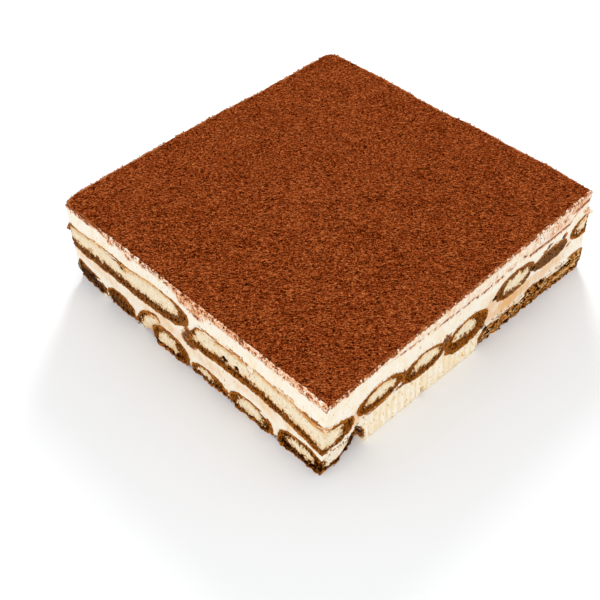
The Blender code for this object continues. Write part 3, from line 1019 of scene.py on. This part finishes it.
def sponge_material():
    made, maker, shader = shader_of("soaked_ladyfinger", 0.7, 0.0)
    skin, soak, smeared, pit, toast, burnt, grey, torn = map(maker.read, FINGER_LOOKS)
    fine = maker.grain(0.7, upright=1.5, detail=3.0)
    crumb = maker.grain(1.25, upright=1.6, detail=3.0, shift=3.0)
    patch = maker.grain(3.6, detail=3.0, shift=6.0)
    streak = maker.grain(2.6, upright=0.4, detail=3.0, shift=8.0)
    soak = soak + patch * 1.3 + torn * streak.step(0.0, 0.7) * -6.0
    frayed = crumb + fine * 0.6
    wet = soak.ragged(frayed, 1.6, -0.3, 0.3)
    golden = soak.ragged(crumb, 1.2, -3.4, 0.0) * 0.6
    golden = golden.over(skin.ragged(crumb + patch, -0.7, 4.2, 0.6) * 0.55).over(torn * 0.8)
    pale = pale_crumb(maker, fine, crumb, golden, burnt)
    dark = soaked_crumb(maker, fine, crumb, patch, soak, (skin, burnt, torn, grey))
    colour = maker.mix(wet, pale, dark)
    gold = maker.mix((patch + fine).step(-0.9, 0.4), CRUST_BROWN, CRUST_GOLD)
    gold = maker.mix(wet, gold, maker.mix(fine.step(-0.6, 0.8), SOAKED_MID, SOAKED_AMBER))
    bare = 1.0 - skin.ragged(crumb + patch, 0.7, 0.25, 1.1)
    crust = (bare * 0.78).over(toast.ragged(crumb + fine, 0.3, 0.4, 0.7) * 0.9)
    colour = maker.mix(crust, colour, gold)
    edge = smeared.ragged(crumb + fine, 0.22, 0.2, 0.4) * smeared.step(0.04, 0.2)
    colour = maker.mix(edge, colour, SOAKED_TAN)
    spread = maker.mix(crumb.step(-0.5, 1.0), CREAM_IVORY, CREAM_WARM)
    colour = maker.mix(smeared.ragged(crumb + fine, 0.22, 0.42, 0.58), colour, spread)
    # Painted shade inside the holes
    colour = maker.mix(pit.step(0.12, 0.45), colour, HOLE_SHADE)
    maker.feed(shader.inputs["Base Color"], colour)
    rough = maker.node("ShaderNodeMapRange", To_Min=DRY_ROUGH, To_Max=WET_ROUGH, Value=wet)
    maker.feed(shader.inputs["Roughness"], Level(maker, rough.outputs["Result"]))
    maker.bump(shader, frayed, 0.5, 0.00035)
    return made


# Fingers

# How far the coffee has soaked in from each edge of the cut: below, left, right, above, in mm
DRY = -4.0
SOAKS = {
    ("upper_finger_1_left", "front"): (6.9, DRY, 7.5, DRY),
    ("upper_finger_1_right", "front"): (6.3, 1.5, DRY, DRY),
    ("upper_finger_1_right", "right"): (5.0, DRY, 8.0, -2.0),
    ("upper_finger_2_right", "right"): (6.2, 6.0, 5.0, -2.0),
    ("upper_finger_3_right", "right"): (6.8, 7.5, 4.5, -3.0),
    ("upper_finger_4_right", "right"): (9.0, 5.5, 9.5, -2.0),
    ("upper_finger_5_right", "right"): (3.6, 7.0, 4.5, 3.0),
    ("upper_finger_6_right", "right"): (20.0, 20.0, 20.0, 20.0),
    ("upper_finger_7_right", "right"): (4.5, 4.0, DRY, DRY),
    ("lower_finger_1_front", "front"): (20.0, 20.0, 20.0, 20.0),
    ("lower_finger_2_front", "front"): (20.0, 20.0, 20.0, 20.0),
    ("lower_finger_3_front", "front"): (DRY, 4.0, -1.0, 0.4),
    ("lower_finger_4_front", "front"): (4.5, 5.2, 9.2, 2.7),
    ("lower_finger_5_front", "front"): (5.0, 4.2, 8.5, 0.2),
    ("lower_finger_6_front", "front"): (4.4, 6.0, 6.0, -1.5),
    ("lower_finger_7_front", "front"): (6.2, 5.6, 9.4, 2.0),
    ("lower_finger_7_front", "right"): (20.0, 20.0, 20.0, 20.0),
    ("lower_finger_7_back", "right"): (20.0, 20.0, 20.0, 20.0),
}

# Fingers whose crumb is greyer or darker than the rest, as (how grey, how dark)
SHADES = {
    "upper_finger_1_left": (0.3, 0.1),
    "upper_finger_5_right": (0.55, 0.0),
    "upper_finger_6_right": (0.85, 0.0),
    "lower_finger_1_front": (0.4, 1.9),
    "lower_finger_2_front": (0.25, 0.45),
    "lower_finger_7_front": (0.0, 0.8),
}
# Fingers torn along their length
TORN_FINGERS = ("lower_finger_7_back",)

# How much thicker the skin makes a finger, how far its crags stand out, and their sizes and shares
SKIN_INFLATE = 0.55
SKIN_CRAGS = 0.75
CRAGS = ((3.2, 1.0), (1.6, 0.6), (7.0, 0.7))
# How far from the cut the looks are worked out, what counts as on the skin, how far under it the
# soaking is read there, and the most that this is worth
DEEP = 8.0
AT_SKIN = 0.05
UNDER_SKIN = 0.5
SOAK_LIMIT = 4.0
# How far a ray looks for the skin, and the most that the soaking from one edge counts
SKIN_REACH = 200.0
GAP_LIMIT = 12.0
# How much a pale patch takes off the soaking, as a share of its limit
PALE_SHARE = 1.5
# How much darker the foot of a finger is, and between which depths
FOOT_DARK = (0.7, 45.0, 52.0)
# How far above the floor the lowest point of a finger lies
FLOOR_GAP = 0.02


def soak_of(node, side, dice):
    """How far a cut end is soaked from each edge, drawn by chance on the ends that don't show."""
    unseen = (dice.uniform(5, 7), dice.uniform(3, 7), dice.uniform(3, 7), dice.uniform(-1, 2))
    return SOAKS.get((node, side.name), unseen)


def inside_reach(tree, co, direction):
    """How far the skin lies from a point inside it, in mm."""
    found = tree.ray_cast(co, direction, SKIN_REACH * MM)
    return found[3] / MM if found[0] is not None else 0.0


def soaked(skin, side, co, soaks):
    """How far inside the soaked zone a point of a cut lies, in mm, and below 0 how far outside."""
    reaches = [inside_reach(skin, co, way) for way in (-UP, -side.along, side.along, UP)]
    gaps = [clamp(soak - reach, -GAP_LIMIT, GAP_LIMIT) for soak, reach in zip(soaks, reaches)]
    return math.log(sum(math.exp(gap) for gap in gaps))


def with_normals(mesh):
    """The vertices of a mesh, each with a copy of its normal."""
    return zip(mesh.vertices, [v.normal.copy() for v in mesh.vertices])


def crusty(obj):
    """Rounds a finger off, moves it with the swells, and gives it a craggy skin."""
    remesh = obj.modifiers.new("even", "REMESH")
    remesh.mode = "VOXEL"
    remesh.voxel_size = FINGER_VOXEL * MM
    relax = obj.modifiers.new("round", "SMOOTH")
    relax.factor = 0.5
    relax.iterations = 6
    apply(obj)
    for vert, normal in with_normals(obj.data):
        crag = sum(share * noise.noise(vert.co / MM / size) for size, share in CRAGS)
        vert.co = swollen(vert.co) + normal * (SKIN_INFLATE + SKIN_CRAGS * crag) * MM
        vert.co.z = max(vert.co.z, FLOOR_GAP * MM)


def finger(node, plates, look):
    """A ladyfinger with a crusty skin, torn crumb on its cut faces, and its soaking."""
    dice = random.Random(node)
    obj, touched = extended(node, node.replace("finger", "ladyfinger"))
    crusty(obj)
    skin = mesh_bvh(obj.data)
    cut_back(obj, touched, plates)
    soaks = {side.name: soak_of(node, side, dice) for side in touched}
    grey, burnt = SHADES.get(node, (0.0, 0.0))
    torn = float(node in TORN_FINGERS)
    much, dark_from, dark_to = FOOT_DARK
    rows = []
    for vert, normal in with_normals(obj.data):
        co = vert.co
        side = min(touched, key=lambda face: abs(face.read(co)[2]))
        s, depth, out = side.read(co)
        shade = (burnt + much * smooth(depth, dark_from, dark_to), grey, torn)
        if abs(out) > DEEP:
            rows.append((0.0, SOAK_LIMIT, 0.0, 0.0, 0.0, *shade))
            continue
        distance = skin.find_nearest(co)[3] / MM
        inner = co if distance > AT_SKIN else co - normal * UNDER_SKIN * MM
        soak = clamp(soaked(skin, side, inner, soaks[side.name]), -SOAK_LIMIT, SOAK_LIMIT)
        soak -= PALE_SHARE * SOAK_LIMIT * patches(PALE, side, s, depth)
        smeared = patches(SMEARS, side, s, depth)
        pit = hole(side, s, depth) / 2
        rows.append((distance, soak, smeared, pit, patches(TOAST, side, s, depth), *shade))
    attributes(obj.data, dict(zip(FINGER_LOOKS, zip(*rows))))
    finish(obj, look, "ladyfinger", node)


# Cream

# How near the sponge the cream is looked at, and how much it is stained beside it
BESIDE = 4.0
BESIDE_STAIN = 0.33
# How soft the edges of the tinted patches are
MOCHA_SOFT = 1.6


def cream(node, name, plates, look, sponge_tree):
    """A layer of cream, hollow for its fingers, with the marks of its cut sides."""
    obj, touched = extended(node, name)
    for vert in obj.data.vertices:
        vert.co = swollen(vert.co)
    cut_back(obj, touched, plates)
    rows = []
    for vert in obj.data.vertices:
        side, s, depth, _ = side_of(vert.co)
        found = sponge_tree.find_nearest(vert.co, BESIDE * MM)
        gap = found[3] / MM if found[0] is not None else BESIDE
        mocha = patches(MOCHA, side, s, depth, MOCHA_SOFT)
        crack = along(CRACK[side.name], s)
        beside = BESIDE_STAIN * smooth(1.5 - gap, 0.0, 1.2)
        stain = max(patches(STAINS, side, s, depth), beside)
        pit = hole(side, s, depth) / 2
        foot = foot_warmth_and_rib_shade(side, s, depth)
        rows.append((mocha, band(side, s, depth), crack, drag(side, s, depth), stain, pit, foot))
    attributes(obj.data, dict(zip(CREAM_LOOKS, zip(*rows))))
    finish(obj, look, "cream", node)


# Cocoa

# The dusting, in mm: how high its grains and its slow waves stand, how far under the top it lies,
# how far it falls at the sides and where it is torn off, and how far down its skirt goes
COCOA_RELIEF = 0.34
COCOA_WAVES = 0.25
COCOA_LOW = 0.3
COCOA_FALL = 0.35
COCOA_LOSS = 0.8
COCOA_SKIRT = 1.9
# How far it stops short of the sides, how far in from a side it is worn or torn, and how round
# its corners are
COCOA_SHORT = 0.1
WORN = 7.0
CORNERS = 1.4
# How wide the thin hem of cocoa is along the sides, and along the two hidden sides, where it is
# looked for this far in
HEM = 1.4
REAR_HEM = 1.5
REAR_REACH = 4.0


def rounded(x, y):
    """A place of the top, moved so that the rectangle has round corners and wavy sides."""
    across = 1 - (WIDE / 2 - abs(x)) / CORNERS
    down = 1 - (LONG / 2 - abs(y)) / CORNERS
    if across > 0 and down > 0:
        far = across * math.sqrt(1 - down * down / 2)
        down = down * math.sqrt(1 - across * across / 2)
        x = math.copysign(WIDE / 2 - (1 - far) * CORNERS, x)
        y = math.copysign(LONG / 2 - (1 - down) * CORNERS, y)
    for side in SIDES.values():
        s, _, out = side.read(Vector((x, y, 0)) * MM)
        wave = 0.35 * grain(s, 3.0 * len(side.name), 8.0, 38) + 0.3 * grain(s, 0, 2.2, 39) - 0.1
        push = side.outward * wave * smooth(out, -5.0, 0.0)
        x, y = x + push.x, y + push.y
    return x, y


def cocoa_level(x, y):
    """How high the cocoa lies at a place, from -1 in a pit to 1 on a clump."""
    bend = 0.8 * grain(x, y, 3.0, 36)
    small = grain(x, y, 1.15, 31)
    ripple = grain((x - y) * 0.7 + bend, (x + y) * 0.26, 1.15, 33)
    return clamp(0.45 * small + 1.4 * ripple, -1.0, 1.0)


def torn_off(x, y):
    """How much of the cocoa is torn off at a place near the sides, from 0 to 1."""
    most = 0.0
    for side in SIDES.values():
        s, _, out = side.read(Vector((x, y, 0)) * MM)
        wild = 0.3 + 0.7 * along(TORN[side.name], s)
        rough = 0.7 * grain(x, y, 1.7, 34) + 0.5 * grain(x, y, 4.0, 37)
        bare = along(BARE[side.name], s) + wild * rough
        most = max(most, smooth(bare + out, -0.4, 0.6))
    return most


def cocoa(look):
    """The dusting: a fine granular surface whose edge is torn where the rim of cream shows."""
    columns = round(WIDE / COCOA_STEP)
    rows = round(LONG / COCOA_STEP)
    bm = bmesh.new()
    bmesh.ops.create_grid(bm, x_segments=columns, y_segments=rows, size=0.5)
    level_of = bm.verts.layers.float.new("level")
    thin_of = bm.verts.layers.float.new("thin")
    for vert in bm.verts:
        x, y = vert.co.x * (WIDE - 2 * COCOA_SHORT), vert.co.y * (LONG - 2 * COCOA_SHORT)
        away = min(WIDE / 2 - abs(x), LONG / 2 - abs(y))
        thin = 0.0
        if away < WORN:
            thin = torn_off(x, y)
            x, y = rounded(x, y)
        level = cocoa_level(x, y)
        waves = COCOA_WAVES * grain(x, y, 16.0, 35)
        fall = COCOA_FALL * smooth(0.9 - away, 0.0, 0.9)
        z = HIGH + COCOA_RELIEF * level + waves - COCOA_LOW - fall - COCOA_LOSS * thin
        vert.co = Vector((x, y, z)) * MM
        hem = 0.6 * smooth(HEM - away, 0.0, 0.7)
        if min(WIDE / 2 + x, LONG / 2 - y) < REAR_REACH:
            hem = smooth(REAR_HEM + grain(x, y, 7.0, 45) - away, 0.0, 0.8)
        # The height, kept as level, also sets the painted shade and highlight of the cocoa
        vert[level_of] = level
        vert[thin_of] = max(thin, hem)
    close_up(bm, lambda co: Vector((co.x, co.y, (HIGH - COCOA_SKIRT) * MM)))
    finish(object_from(bm, "cocoa_powder"), look, "cocoa", "cocoa_dusting")


# The torn rim of cream round the cocoa

# Section of the rim: how far in from the side, and depth
RIM_SECTION = (
    (0.0, 3.6), (-0.05, 3.1), (-0.1, 2.6), (-0.1, 2.1), (-0.05, 1.6), (0.0, 1.15), (0.1, 0.75),
    (0.3, 0.45), (0.6, 0.3), (0.95, 0.26), (1.3, 0.28), (1.7, 0.32), (2.1, 0.4), (2.5, 0.55),
    (2.9, 0.8), (3.3, 1.3), (3.0, 3.4),
)
# How far its curls stand up, how far it dives under the cocoa behind the torn part, how much lower
# it lies where nothing is torn, and how far it is sunk into the wall
RIM_LIFT = 0.55
RIM_DIVE = 1.4
RIM_LOW = 0.75
RIM_SUNK = 0.2
# The walls are read this far down for the rim and what lies on it
RIM_DEPTH = 2.0


def rim_place(round_s, inset):
    """The side and the s of a place round the rim."""
    for side in SIDES.values():
        if round_s <= side.length:
            share = (round_s - side.length / 2) / (side.length / 2)
            return side, side.length / 2 + share * (side.length / 2 - inset)
        round_s -= side.length
    return side, side.length


def crest(round_s, across):
    """The torn curls of the rim: 1 on a curl and below 0 between them."""
    bent = round_s + 1.1 * across + 0.8 * grain(round_s, across, 2.5, 43)
    line = 1 - 2.6 * abs(grain(bent * 0.66, across * 0.95, 1.5, 41))
    return line + 0.5 * grain(round_s, across, 1.0, 42)


def rim(look, walls):
    """The crest of cream along the edges of the top, torn where the cut dragged it up."""
    total = sum(side.length for side in SIDES.values())
    count = 4 * round(total / RIM_STEP / 4)
    bm = bmesh.new()
    layers = {name: bm.verts.layers.float.new(name) for name in CREAM_LOOKS}
    circle = bmesh.ops.create_circle(bm, cap_ends=False, segments=count, radius=1)
    loops = [circle["verts"]]
    for _ in RIM_SECTION[1:]:
        last = set(loops[-1])
        edges = dict.fromkeys(e for v in loops[-1] for e in v.link_edges if last.issuperset(e.verts))
        loops.append(drawn_out(bm, edges))
    across, before = 0.0, RIM_SECTION[0]
    for loop, (inset, depth) in zip(loops, RIM_SECTION):
        across += math.dist(before, (inset, depth))
        before = (inset, depth)
        for vert in loop:
            round_s = (math.atan2(vert.co.y, vert.co.x) / math.tau % 1) * total
            side, s = rim_place(round_s, max(inset, 0))
            out = walls[side.name].stands(s, RIM_DEPTH) - RIM_SUNK
            torn = along(TORN[side.name], s)
            curl = crest(round_s, across)
            low = RIM_LOW * (1 - smooth(torn, 0.15, 0.6)) * smooth(inset, -0.1, 0.5)
            reach = along(BARE[side.name], s) + 0.5 * grain(round_s, 0, 1.8, 44)
            low += RIM_DIVE * smooth(inset - reach, 0.1, 0.9)
            shown = smooth(depth, 3.5, 1.4) if inset < 0.15 else 1.0
            lift = RIM_LIFT * torn * shown * max(curl, -0.2)
            outwards = lift * (1 - smooth(inset, 0.2, 1.2))
            upwards = lift * smooth(inset, 0.0, 0.7)
            vert.co = side.point(s, depth + low - upwards, out - inset + outwards)
            on_top = smooth(inset, -0.1, 0.6)
            share = clamp(1.7 * along(DRAG_SHARE[side.name], s))
            cover = on_top * share + (1 - on_top) * clamp(2.0 * drag(side, s, depth))
            bare = torn * smooth(curl, -0.05, 0.35)
            vert[layers["drag"]] = clamp(cover * (1 - bare) * 1.5, 0.0, 1.0)
            vert[layers["band"]] = band(side, s, depth)
    bmesh.ops.bridge_loops(bm, edges=[e for e in bm.edges if e.is_boundary])
    bmesh.ops.recalc_face_normals(bm, faces=bm.faces)
    finish(object_from(bm, "cream_rim"), look, "cream")


# Small torn bits

# How many faces a lump has round and up, how rough it is, and how many are made at a time
LUMP_ROUND = 7
LUMP_TALL = 5
LUMP_ROUGH = 0.12
CHUNK = 60
# Bits of the rim that are less far in than this lie on the side, between these depths
ON_SIDE = 0.35
ON_SIDE_DEPTHS = (0.4, 1.8)
# How far those bits and the crumbs are sunk into the side
LUMP_SUNK = 0.25
CRUMB_SUNK = 0.35


class Scatter:
    """Small rough lumps, joined as one mesh. They are made a chunk at a time, for speed."""

    def __init__(self, name):
        self.name = name
        self.dice = random.Random(name)
        self.whole = bmesh.new()
        self.part = bmesh.new()
        self.made = 0
        self.columns = {}

    def lump(self, co, lengths, turn, skirt=0.0, **values):
        """A lump with these lengths in mm and these values of its attributes, and so much warm shade
        painted round its lower half, as drag."""
        matrix = Matrix.Translation(co) @ turn.to_matrix().to_4x4()
        matrix = matrix @ Matrix.Diagonal((*[length * MM for length in lengths], 1))
        verts = bmesh.ops.create_uvsphere(
            self.part, u_segments=LUMP_ROUND, v_segments=LUMP_TALL, radius=0.5, matrix=matrix
        )["verts"]
        for vert in verts:
            shift = Vector([self.dice.uniform(-1, 1) for _ in range(3)])
            vert.co += shift * min(lengths) * LUMP_ROUGH * MM
        for name, value in values.items():
            self.columns.setdefault(name, []).extend([value] * len(verts))
        # The lower half gets drag, painted there as warm shade
        if skirt:
            low = [(co.z - vert.co.z) / MM / lengths[2] for vert in verts]
            self.columns.setdefault("drag", []).extend([skirt * smooth(x, -0.25, 0.1) for x in low])
        self.made += 1
        if self.made % CHUNK == 0:
            self.gather()

    def gather(self):
        """Joins the lumps of this chunk to the whole."""
        mesh = bpy.data.meshes.new("chunk")
        self.part.to_mesh(mesh)
        self.part.free()
        self.part = bmesh.new()
        self.whole.from_mesh(mesh)
        bpy.data.meshes.remove(mesh)

    def finished(self):
        """The whole as an object, with the attributes of its lumps."""
        self.gather()
        self.part.free()
        bmesh.ops.recalc_face_normals(self.whole, faces=self.whole.faces)
        obj = object_from(self.whole, self.name)
        attributes(obj.data, self.columns)
        return obj


def round_spot(dice, walls, side, s, inset):
    """A place on the rounded edge between a side and the top."""
    out = walls[side.name].stands(s, RIM_DEPTH)
    if inset < ON_SIDE:
        return side.point(s, dice.uniform(*ON_SIDE_DEPTHS), out - LUMP_SUNK)
    return side.point(s, 0.2 + 0.1 * inset, out - inset)


# Curls of cream and clumps of cocoa along the rim: side, s from and to, how many per mm, how
# far in from the side they lie, from and to, how thick and how long at most, and how far they
# are turned, in radians
CURLS = (
    ("front", 27, 60, 0.7, -0.6, 1.2, 0.6, 1.4, 0.5),
    ("front", 60, 112, 1.0, -0.6, 1.6, 0.6, 1.5, 0.5),
    ("front", 112, 190, 1.0, -0.6, 1.9, 0.6, 1.5, 0.5),
    ("right", 0, 150, 0.32, 0.1, 0.7, 1.2, 2.4, 1.8),
    ("right", 150, 203, 0.45, 0.1, 0.9, 1.5, 2.8, 1.8),
    ("back", 0, 12, 0.8, -0.6, 0.8, 0.6, 1.8, 1.4),
)
CLUMPS = (
    ("front", 0, 30, 1.2, -0.6, 0.9, 0.6, 1.2, 0.5),
    ("front", 30, 190, 2.6, -0.6, 2.4, 0.6, 1.2, 0.5),
    ("right", 0, 203, 1.2, -0.6, 0.8, 0.6, 1.2, 1.8),
    ("back", 0, 190, 0.6, 0.0, 0.6, 0.6, 1.2, 0.5),
    ("left", 0, 203, 0.6, 0.0, 0.6, 0.6, 1.2, 0.5),
)


def rim_bits(name, table):
    """Torn bits along the rim, one by one: what each joins, its side, place, lengths and turn."""
    bits = Scatter(name)
    dice = bits.dice
    for side_name, start, end, rate, low, high, thickest, longest, lean in table:
        side = SIDES[side_name]
        heading = math.atan2(side.outward.y, side.outward.x) - math.pi / 2
        for _ in range(round((end - start) * rate)):
            s = dice.uniform(start, end)
            inset = dice.uniform(low, high)
            thick = dice.uniform(0.6, 1.0) * thickest
            lengths = (thick, dice.uniform(0.5 * longest, longest), 0.9 * thick)
            turn = Euler((dice.gauss(0, 0.3), dice.gauss(0, 0.3), heading + dice.gauss(lean, 0.45)))
            yield bits, side, s, inset, lengths, turn


# Bits that stick out at the corners, in mm: side, s, depth, out, lengths outwards, along and up,
# then how far they are tipped and turned, in radians
FLAPS = (
    ("right", 200.0, 12.0, 0.3, (2.4, 9.0, 5.0), (-0.5, -0.1)),
    ("right", 204.4, 15.2, 0.8, (2.0, 8.5, 3.0), (-0.5, -0.1)),
)
CRUSTS = (
    ("front", -0.8, 15.4, -0.8, (2.6, 7.5, 2.2), (0.5, 1.7)),
    ("front", -2.0, 18.6, -1.6, (2.4, 5.0, 2.0), (0.2, 1.5)),
    ("front", -0.4, 26.0, -1.4, (2.0, 4.0, 3.0), (0.3, 1.6)),
)


def corner_bits(bits, table, **values):
    """Adds the bits of a table, with these values of their attributes."""
    for name, s, depth, out, lengths, (tip, turn) in table:
        side = SIDES[name]
        heading = math.atan2(side.outward.y, side.outward.x)
        bits.lump(side.point(s, depth, out), lengths, Euler((tip, 0, heading + turn)), **values)


def cream_curls(look, walls):
    """Torn curls of cream along the rim, with warm shade painted round their lower halves,
    and the corner flaps.
    """
    for bits, side, s, inset, lengths, turn in rim_bits("cream_curls", CURLS):
        spot = round_spot(bits.dice, walls, side, s, inset)
        bits.lump(spot, lengths, turn, skirt=0.55, band=-3.0, foot=0.0)
    corner_bits(bits, FLAPS, skirt=0.01, band=-3.0, foot=1.1)
    finish(bits.finished(), look, "cream")


def cocoa_clumps(look, walls):
    """Clumps of cocoa along the rim, some darker than others."""
    for bits, side, s, inset, lengths, turn in rim_bits("cocoa_clumps", CLUMPS):
        place = round_spot(bits.dice, walls, side, s, inset)
        bits.lump(place, lengths, turn, level=bits.dice.uniform(-0.8, 0.6))
    finish(bits.finished(), look, "cocoa")


# Loose crumbs on the cut sides: side, s from and to, depth from and to, how many, how soaked.
# Then the range of their lengths along, outwards and up.
CRUMBS = (
    ("front", 28, 40, 11.8, 13.2, 16, -2.0),
    ("front", 74, 81, 9.2, 10.2, 12, -2.0),
    ("front", 104, 118, 12.8, 14.0, 22, -1.0),
    ("front", 122, 136, 11.2, 12.6, 16, -2.0),
    ("front", 156, 170, 12.0, 13.2, 14, -2.0),
    ("front", 175, 190, 14.5, 17.5, 34, -2.0),
    ("front", 97, 104, 20.5, 23.0, 10, 4.0),
    ("front", 0, 190, 50.5, 53.2, 50, 4.0),
    ("right", 26, 60, 29.5, 32.0, 40, 4.0),
    ("right", 2, 20, 38.0, 43.0, 26, 4.0),
    ("right", 113, 203, 38.0, 53.5, 110, 4.0),
    ("right", 30, 37, 13.5, 15.5, 10, -2.0),
    ("back", 0, 190, 49.0, 53.5, 60, 4.0),
    ("left", 0, 203, 49.0, 53.5, 60, 4.0),
)
CRUMB_LENGTHS = ((0.6, 1.5), (0.5, 0.9), (0.5, 1.0))


def crumbs(look, walls):
    """Crumbs of sponge that cling to the cut sides, and the crusts at the front corner."""
    bits = Scatter("ladyfinger_crumbs")
    dice = bits.dice
    for side_name, start, end, top, bottom, count, soak in CRUMBS:
        side = SIDES[side_name]
        heading = math.atan2(side.along.y, side.along.x)
        for _ in range(count):
            s = dice.uniform(start, end)
            depth = dice.uniform(top, bottom)
            lengths = [dice.uniform(*span) for span in CRUMB_LENGTHS]
            place = side.point(s, depth, walls[side_name].stands(s, depth) - CRUMB_SUNK)
            turn = Euler((dice.gauss(0, 0.5), dice.gauss(0, 0.5), heading + dice.gauss(0, 0.4)))
            skin = dice.uniform(0, 2) if soak > 0 else 0.3
            bits.lump(place, lengths, turn, skin=skin, soak=soak)
    corner_bits(bits, CRUSTS, skin=0.6, soak=3.0)
    finish(bits.finished(), look, "ladyfinger")


# Floor, light and camera

CAMERA_PLACE = (0.2520, -0.2733, 0.3670)
CAMERA_LENS = 54.89
CAMERA_YAW = math.radians(45.22)
CAMERA_PITCH = math.radians(46.51)
CAMERA_ROLL = math.radians(-0.34)
CAMERA_NEAR = 0.01
SENSOR = 36

# The floor and the sky, then the lamps: place and diameter in metres, and power in watts
FLOOR_SIZE = 4
FLOOR_WHITE = (0.89, 0.9, 0.912, 1)
FLOOR_ROUGH = 0.9
SKY_WHITE = (1, 1, 1, 1)
SKY_STRENGTH = 0.9
LAMPS = {
    "key": ((-0.75, 0.85, 0.62), 0.35, 9.4),
    "fill": ((0.75, -0.85, 0.55), 0.9, 4.4),
}
LAMP_AIM = (0, 0, 0.02)


def camera():
    """The camera of the picture: where it stands, and how it is turned."""
    data = bpy.data.cameras.new("camera")
    data.lens = CAMERA_LENS
    data.sensor_width = SENSOR
    data.clip_start = CAMERA_NEAR
    obj = placed("camera", data)
    flat = math.cos(CAMERA_PITCH)
    east, north = math.sin(CAMERA_YAW), math.cos(CAMERA_YAW)
    back = Vector((east * flat, -north * flat, math.sin(CAMERA_PITCH)))
    right = Vector((north, east, 0))
    above = back.cross(right)
    turned = right * math.cos(CAMERA_ROLL) + above * math.sin(CAMERA_ROLL)
    above = above * math.cos(CAMERA_ROLL) - right * math.sin(CAMERA_ROLL)
    axes = Matrix((turned, above, back)).transposed()
    obj.matrix_world = Matrix.Translation(CAMERA_PLACE) @ axes.to_4x4()
    bpy.context.scene.camera = obj


def lamp(name, place, size, power):
    """A round soft lamp that points at the cake."""
    data = bpy.data.lights.new(name, "AREA")
    data.shape = "DISK"
    data.size = size
    data.energy = power
    obj = placed(name, data)
    obj.location = place
    obj.rotation_euler = (Vector(LAMP_AIM) - Vector(place)).to_track_quat("-Z", "Y").to_euler()


def studio():
    """A plain pale floor, an even sky, two lamps, and the camera."""
    bm = bmesh.new()
    bmesh.ops.create_grid(bm, x_segments=1, y_segments=1, size=FLOOR_SIZE)
    floor = object_from(bm, "floor")
    made, _, shader = shader_of("floor_white", FLOOR_ROUGH, 0.5)
    shader.inputs["Base Color"].default_value = FLOOR_WHITE
    floor.data.materials.append(made)
    floor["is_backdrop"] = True
    world = bpy.data.worlds.new("studio")
    world.use_nodes = True
    sky = world.node_tree.nodes["Background"]
    sky.inputs["Color"].default_value = SKY_WHITE
    sky.inputs["Strength"].default_value = SKY_STRENGTH
    bpy.context.scene.world = world
    for name, (place, size, power) in LAMPS.items():
        lamp(name, place, size, power)
    bpy.context.scene.view_settings.view_transform = "Standard"
    camera()


def build():
    """Makes every piece round the nodes of the frame, then the studio."""
    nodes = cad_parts
    tree = mesh_bvh(*[obj.data for obj in nodes.values()])
    sponge_tree = mesh_bvh(*[obj.data for name, obj in nodes.items() if "finger" in name])
    cream_walls = {name: Wall(side, tree, CREAM_STEP) for name, side in SIDES.items()}
    crumb_walls = {name: Wall(side, tree, CRUMB_STEP) for name, side in SIDES.items()}
    cream_plates = {n: w.plate("cream_cut_" + n, cream_relief) for n, w in cream_walls.items()}
    crumb_plates = {n: w.plate("crumb_cut_" + n, crumb_relief) for n, w in crumb_walls.items()}
    food_grain_group()
    ragged_edge_group()
    sponge = sponge_material()
    ivory = cream_material()
    powder = cocoa_material()
    for node in sorted(nodes):
        if "finger" in node:
            finger(node, crumb_plates, sponge)
    cream("cream_top", "cream_upper", cream_plates, ivory, sponge_tree)
    cream("cream_middle", "cream_lower", cream_plates, ivory, sponge_tree)
    cocoa(powder)
    rim(ivory, cream_walls)
    cream_curls(ivory, cream_walls)
    cocoa_clumps(powder, cream_walls)
    crumbs(sponge, crumb_walls)
    for plate in [*cream_plates.values(), *crumb_plates.values()]:
        bpy.data.objects.remove(plate, do_unlink=True)
    studio()


build()
[[list(corner) for corner in box] for box in (cad_box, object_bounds())]
